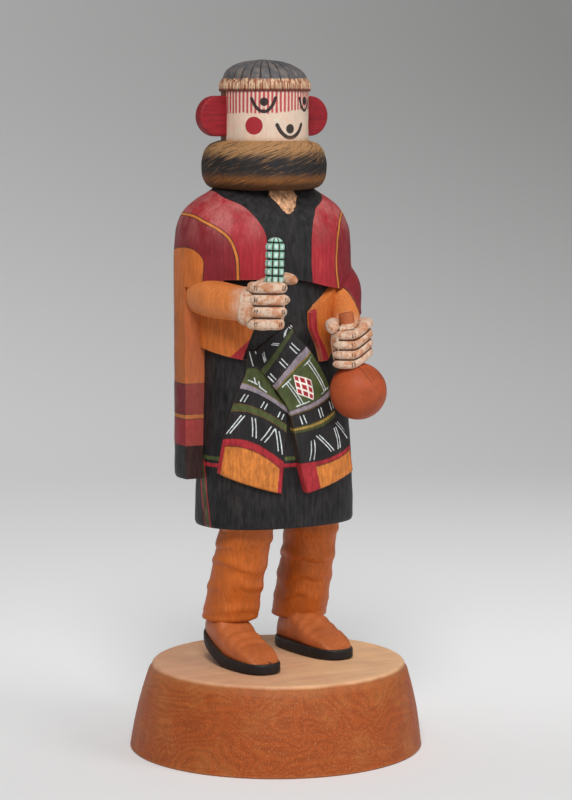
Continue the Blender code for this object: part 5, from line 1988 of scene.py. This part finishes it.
def hair_paint():
    paint = Paint("hair paint")
    lock, height, edge = paint.field("lock"), paint.field("height"), paint.field("edge")
    fibre = paint.noise(620.0, 4.0, (1.0, 1.0, 0.35))
    ragged = height + paint.sway(900.0, 3.0, (1.0, 1.0, 0.08), seed=2.0) * 3.6
    patches = paint.noise(260.0, 4.0, seed=7.0).step(0.42, 0.66) * 0.6
    cap = paint.mix(patches, paint.scaled(colour_of("slate"), 0.88), CAP_PATCH)
    strands = paint.noise(800.0, 2.0, (1.0, 1.0, 0.1), seed=3.0).step(0.4, 0.6)
    fringe = paint.mix(strands, FRINGE_DARK, FRINGE_LIGHT)
    fringe = paint.mix(edge.step(0.10, 0.9) * 0.4, fringe, FRINGE_RIDGE)
    fringe = paint.mix(edge.step(-0.08, -0.9) * 0.8, fringe, FRINGE_GROOVE)
    # Painted shadow along the lower edge of the fringe
    fringe = paint.mix(height.step(259.5, 258.5) * 0.9, fringe, FRINGE_FOOT_SHADOW)
    colour = paint.mix(ragged.step(263.0, 263.6), fringe, cap)
    groove = lock.step(0.30, 0.12) * (0.35 + ragged.step(262.0, 263.4) * 0.5)
    colour = paint.mix(groove, colour, LOCK_LINE_TONE)
    colour = paint.scaled(colour, 0.72 + fibre * 0.56)
    return paint.finish(colour, 0.5, (fibre - 0.5) * 0.2)


def legging_paint():
    paint = Paint("legging stain")
    blotch = paint.noise(90.0, 4.0, (1.0, 1.0, 0.4), seed=6.0)
    colour = paint.mix(blotch.step(0.4, 0.7) * 0.5, colour_of("stain"), DEEP_STAIN)
    # Deeper painted shade in the hollows of the folds
    colour = paint.weathered(colour, streaks=0.3, blotches=0.12, worn=0.2, hollow_shade=0.75)
    return paint.finish(colour, 0.45, paint.wood_bump(0.12))


def moccasin_paint():
    return painted("moccasin paint", "leather", 0.45, streaks=0.2, blotches=0.3, worn=0.25)


def sole_paint():
    return painted("sole paint", "black", 0.5, streaks=0.2, blotches=0.3, worn=0.2, bare=BARE_SOLE)


def ear_paint():
    wear = {"streaks": 0.4, "blotches": 0.2, "worn": 0.2, "bare": BARE_EAR}
    return painted("ear paint", "ear", 0.55, grain=(0.09, 1.0, 1.0), **wear)


def cactus_paint():
    paint = Paint("cactus paint")
    u, along = paint.along_piece()
    ragged = paint.sway(700.0)
    rib = abs((u * CACTUS_RIBS + 0.5).fraction() - 0.5)
    joint = abs(((CACTUS_LENGTH - CACTUS_TOP_JOINT - along) / CACTUS_JOINT_PITCH + 0.5).fraction() - 0.5)
    colour = paint.mix(paint.noise(420.0).step(0.4, 0.65) * 0.6, colour_of("mint"), CACTUS_DEEP)
    # Painted highlight in the middle of each cell
    middle = rib.step(0.22, 0.42) * joint.step(0.18, 0.38)
    colour = paint.mix(middle * 0.8, colour, CACTUS_CELL_HIGHLIGHT)
    colour = paint.mix((rib + ragged * 0.05).step(0.13, 0.07) * 0.95, colour, CACTUS_RIB_LINE)
    colour = paint.mix((joint + ragged * 0.05).step(0.13, 0.08) * 0.95, colour, CACTUS_JOINT_LINE)
    return paint.finish(colour, 0.5, paint.wood_bump(0.1))


def rattle_paint():
    paint = Paint("gourd stain")
    along, crack = paint.field("along"), paint.field("crack")
    speck = paint.noise(800.0, 4.0)
    patch = paint.noise(110.0, 4.0, seed=4.0)
    gourd = paint.mix(patch.step(0.38, 0.68) * 0.5, colour_of("gourd"), GOURD_DEEP)
    gourd = paint.mix(speck.step(0.6, 0.75) * 0.25, gourd, GOURD_SPECK)
    handle = paint.scaled(HANDLE_WOOD, 0.7 + paint.noise(700.0, 3.0, (1.0, 1.0, 0.1)) * 0.6)
    colour = paint.mix(along.step(12.2, 12.7), gourd, handle)
    colour = paint.mix(crack.step(0.34, 0.10) * 0.75, colour, CRACK_TONE)
    return paint.finish(colour, 0.42 + speck * 0.2, (speck - 0.5) * 0.12 - crack.step(0.5, 0.0) * 0.2)


def floor_finish():
    paint = Paint("studio paper")
    x, y, z = paint.parts(paint.object_place)
    sin, cos = math.sin(CAMERA_TURN), math.cos(CAMERA_TURN)
    side, away = x * cos + y * sin, y * cos - x * sin
    # Painted light on the paper: lighter behind the doll, painted shade higher up the sweep and to one side
    # at the back, and a glow behind the doll that is no lamp
    colour = paint.mix(away.step(-0.1, 0.25), colour_of("floor"), (1.0, 1.0, 1.0))
    darker = z.step(0.0, 0.42) ** 0.45 * 0.68 + (side * 0.6 + 0.16) * away.step(0.4, 1.1)
    colour = paint.mix(darker, colour, PAPER_SHADE)
    painted_glow = paint.mix(away.step(-0.1, 0.12) * (1.0 - darker), (0.0, 0.0, 0.0), PAPER_GLOW)
    return paint.finish(colour, 0.9, glow=painted_glow)


class DOLL_PT_finish(bpy.types.Panel):
    """Sizes, colours and pieces of the doll."""

    bl_label = "Kachina doll"
    bl_idname = "DOLL_PT_finish"
    bl_space_type = "VIEW_3D"
    bl_region_type = "UI"
    bl_category = "Doll"

    def draw(self, context):
        layout = self.layout
        for settings in (context.scene.doll_relief, context.scene.doll_colours, context.scene.doll_light):
            box = layout.box()
            for name in settings.__annotations__:
                box.prop(settings, name)
        for operator in OPERATORS:
            layout.operator(operator.bl_idname)


OPERATORS = (
    DOLL_OT_plinth, DOLL_OT_shawl, DOLL_OT_dress, DOLL_OT_lining, DOLL_OT_sash, DOLL_OT_arms, DOLL_OT_hands,
    DOLL_OT_ruff, DOLL_OT_head, DOLL_OT_hair, DOLL_OT_leggings, DOLL_OT_moccasins, DOLL_OT_ears,
    DOLL_OT_cactus, DOLL_OT_rattle, DOLL_OT_studio,
)
SETTINGS = {"doll_relief": DollRelief, "doll_colours": DollColours, "doll_light": StudioLight}


def register():
    for group in (*SETTINGS.values(), *OPERATORS, DOLL_PT_finish):
        bpy.utils.register_class(group)
    for name, group in SETTINGS.items():
        setattr(bpy.types.Scene, name, PointerProperty(type=group))


def unregister():
    for name in SETTINGS:
        delattr(bpy.types.Scene, name)
    for group in (DOLL_PT_finish, *reversed(OPERATORS), *SETTINGS.values()):
        bpy.utils.unregister_class(group)


def main():
    register()
    for operator in OPERATORS:
        getattr(bpy.ops.doll, operator.bl_idname.split(".")[1])()
    bpy.context.view_layer.update()


if __name__ == "__main__":
    main()
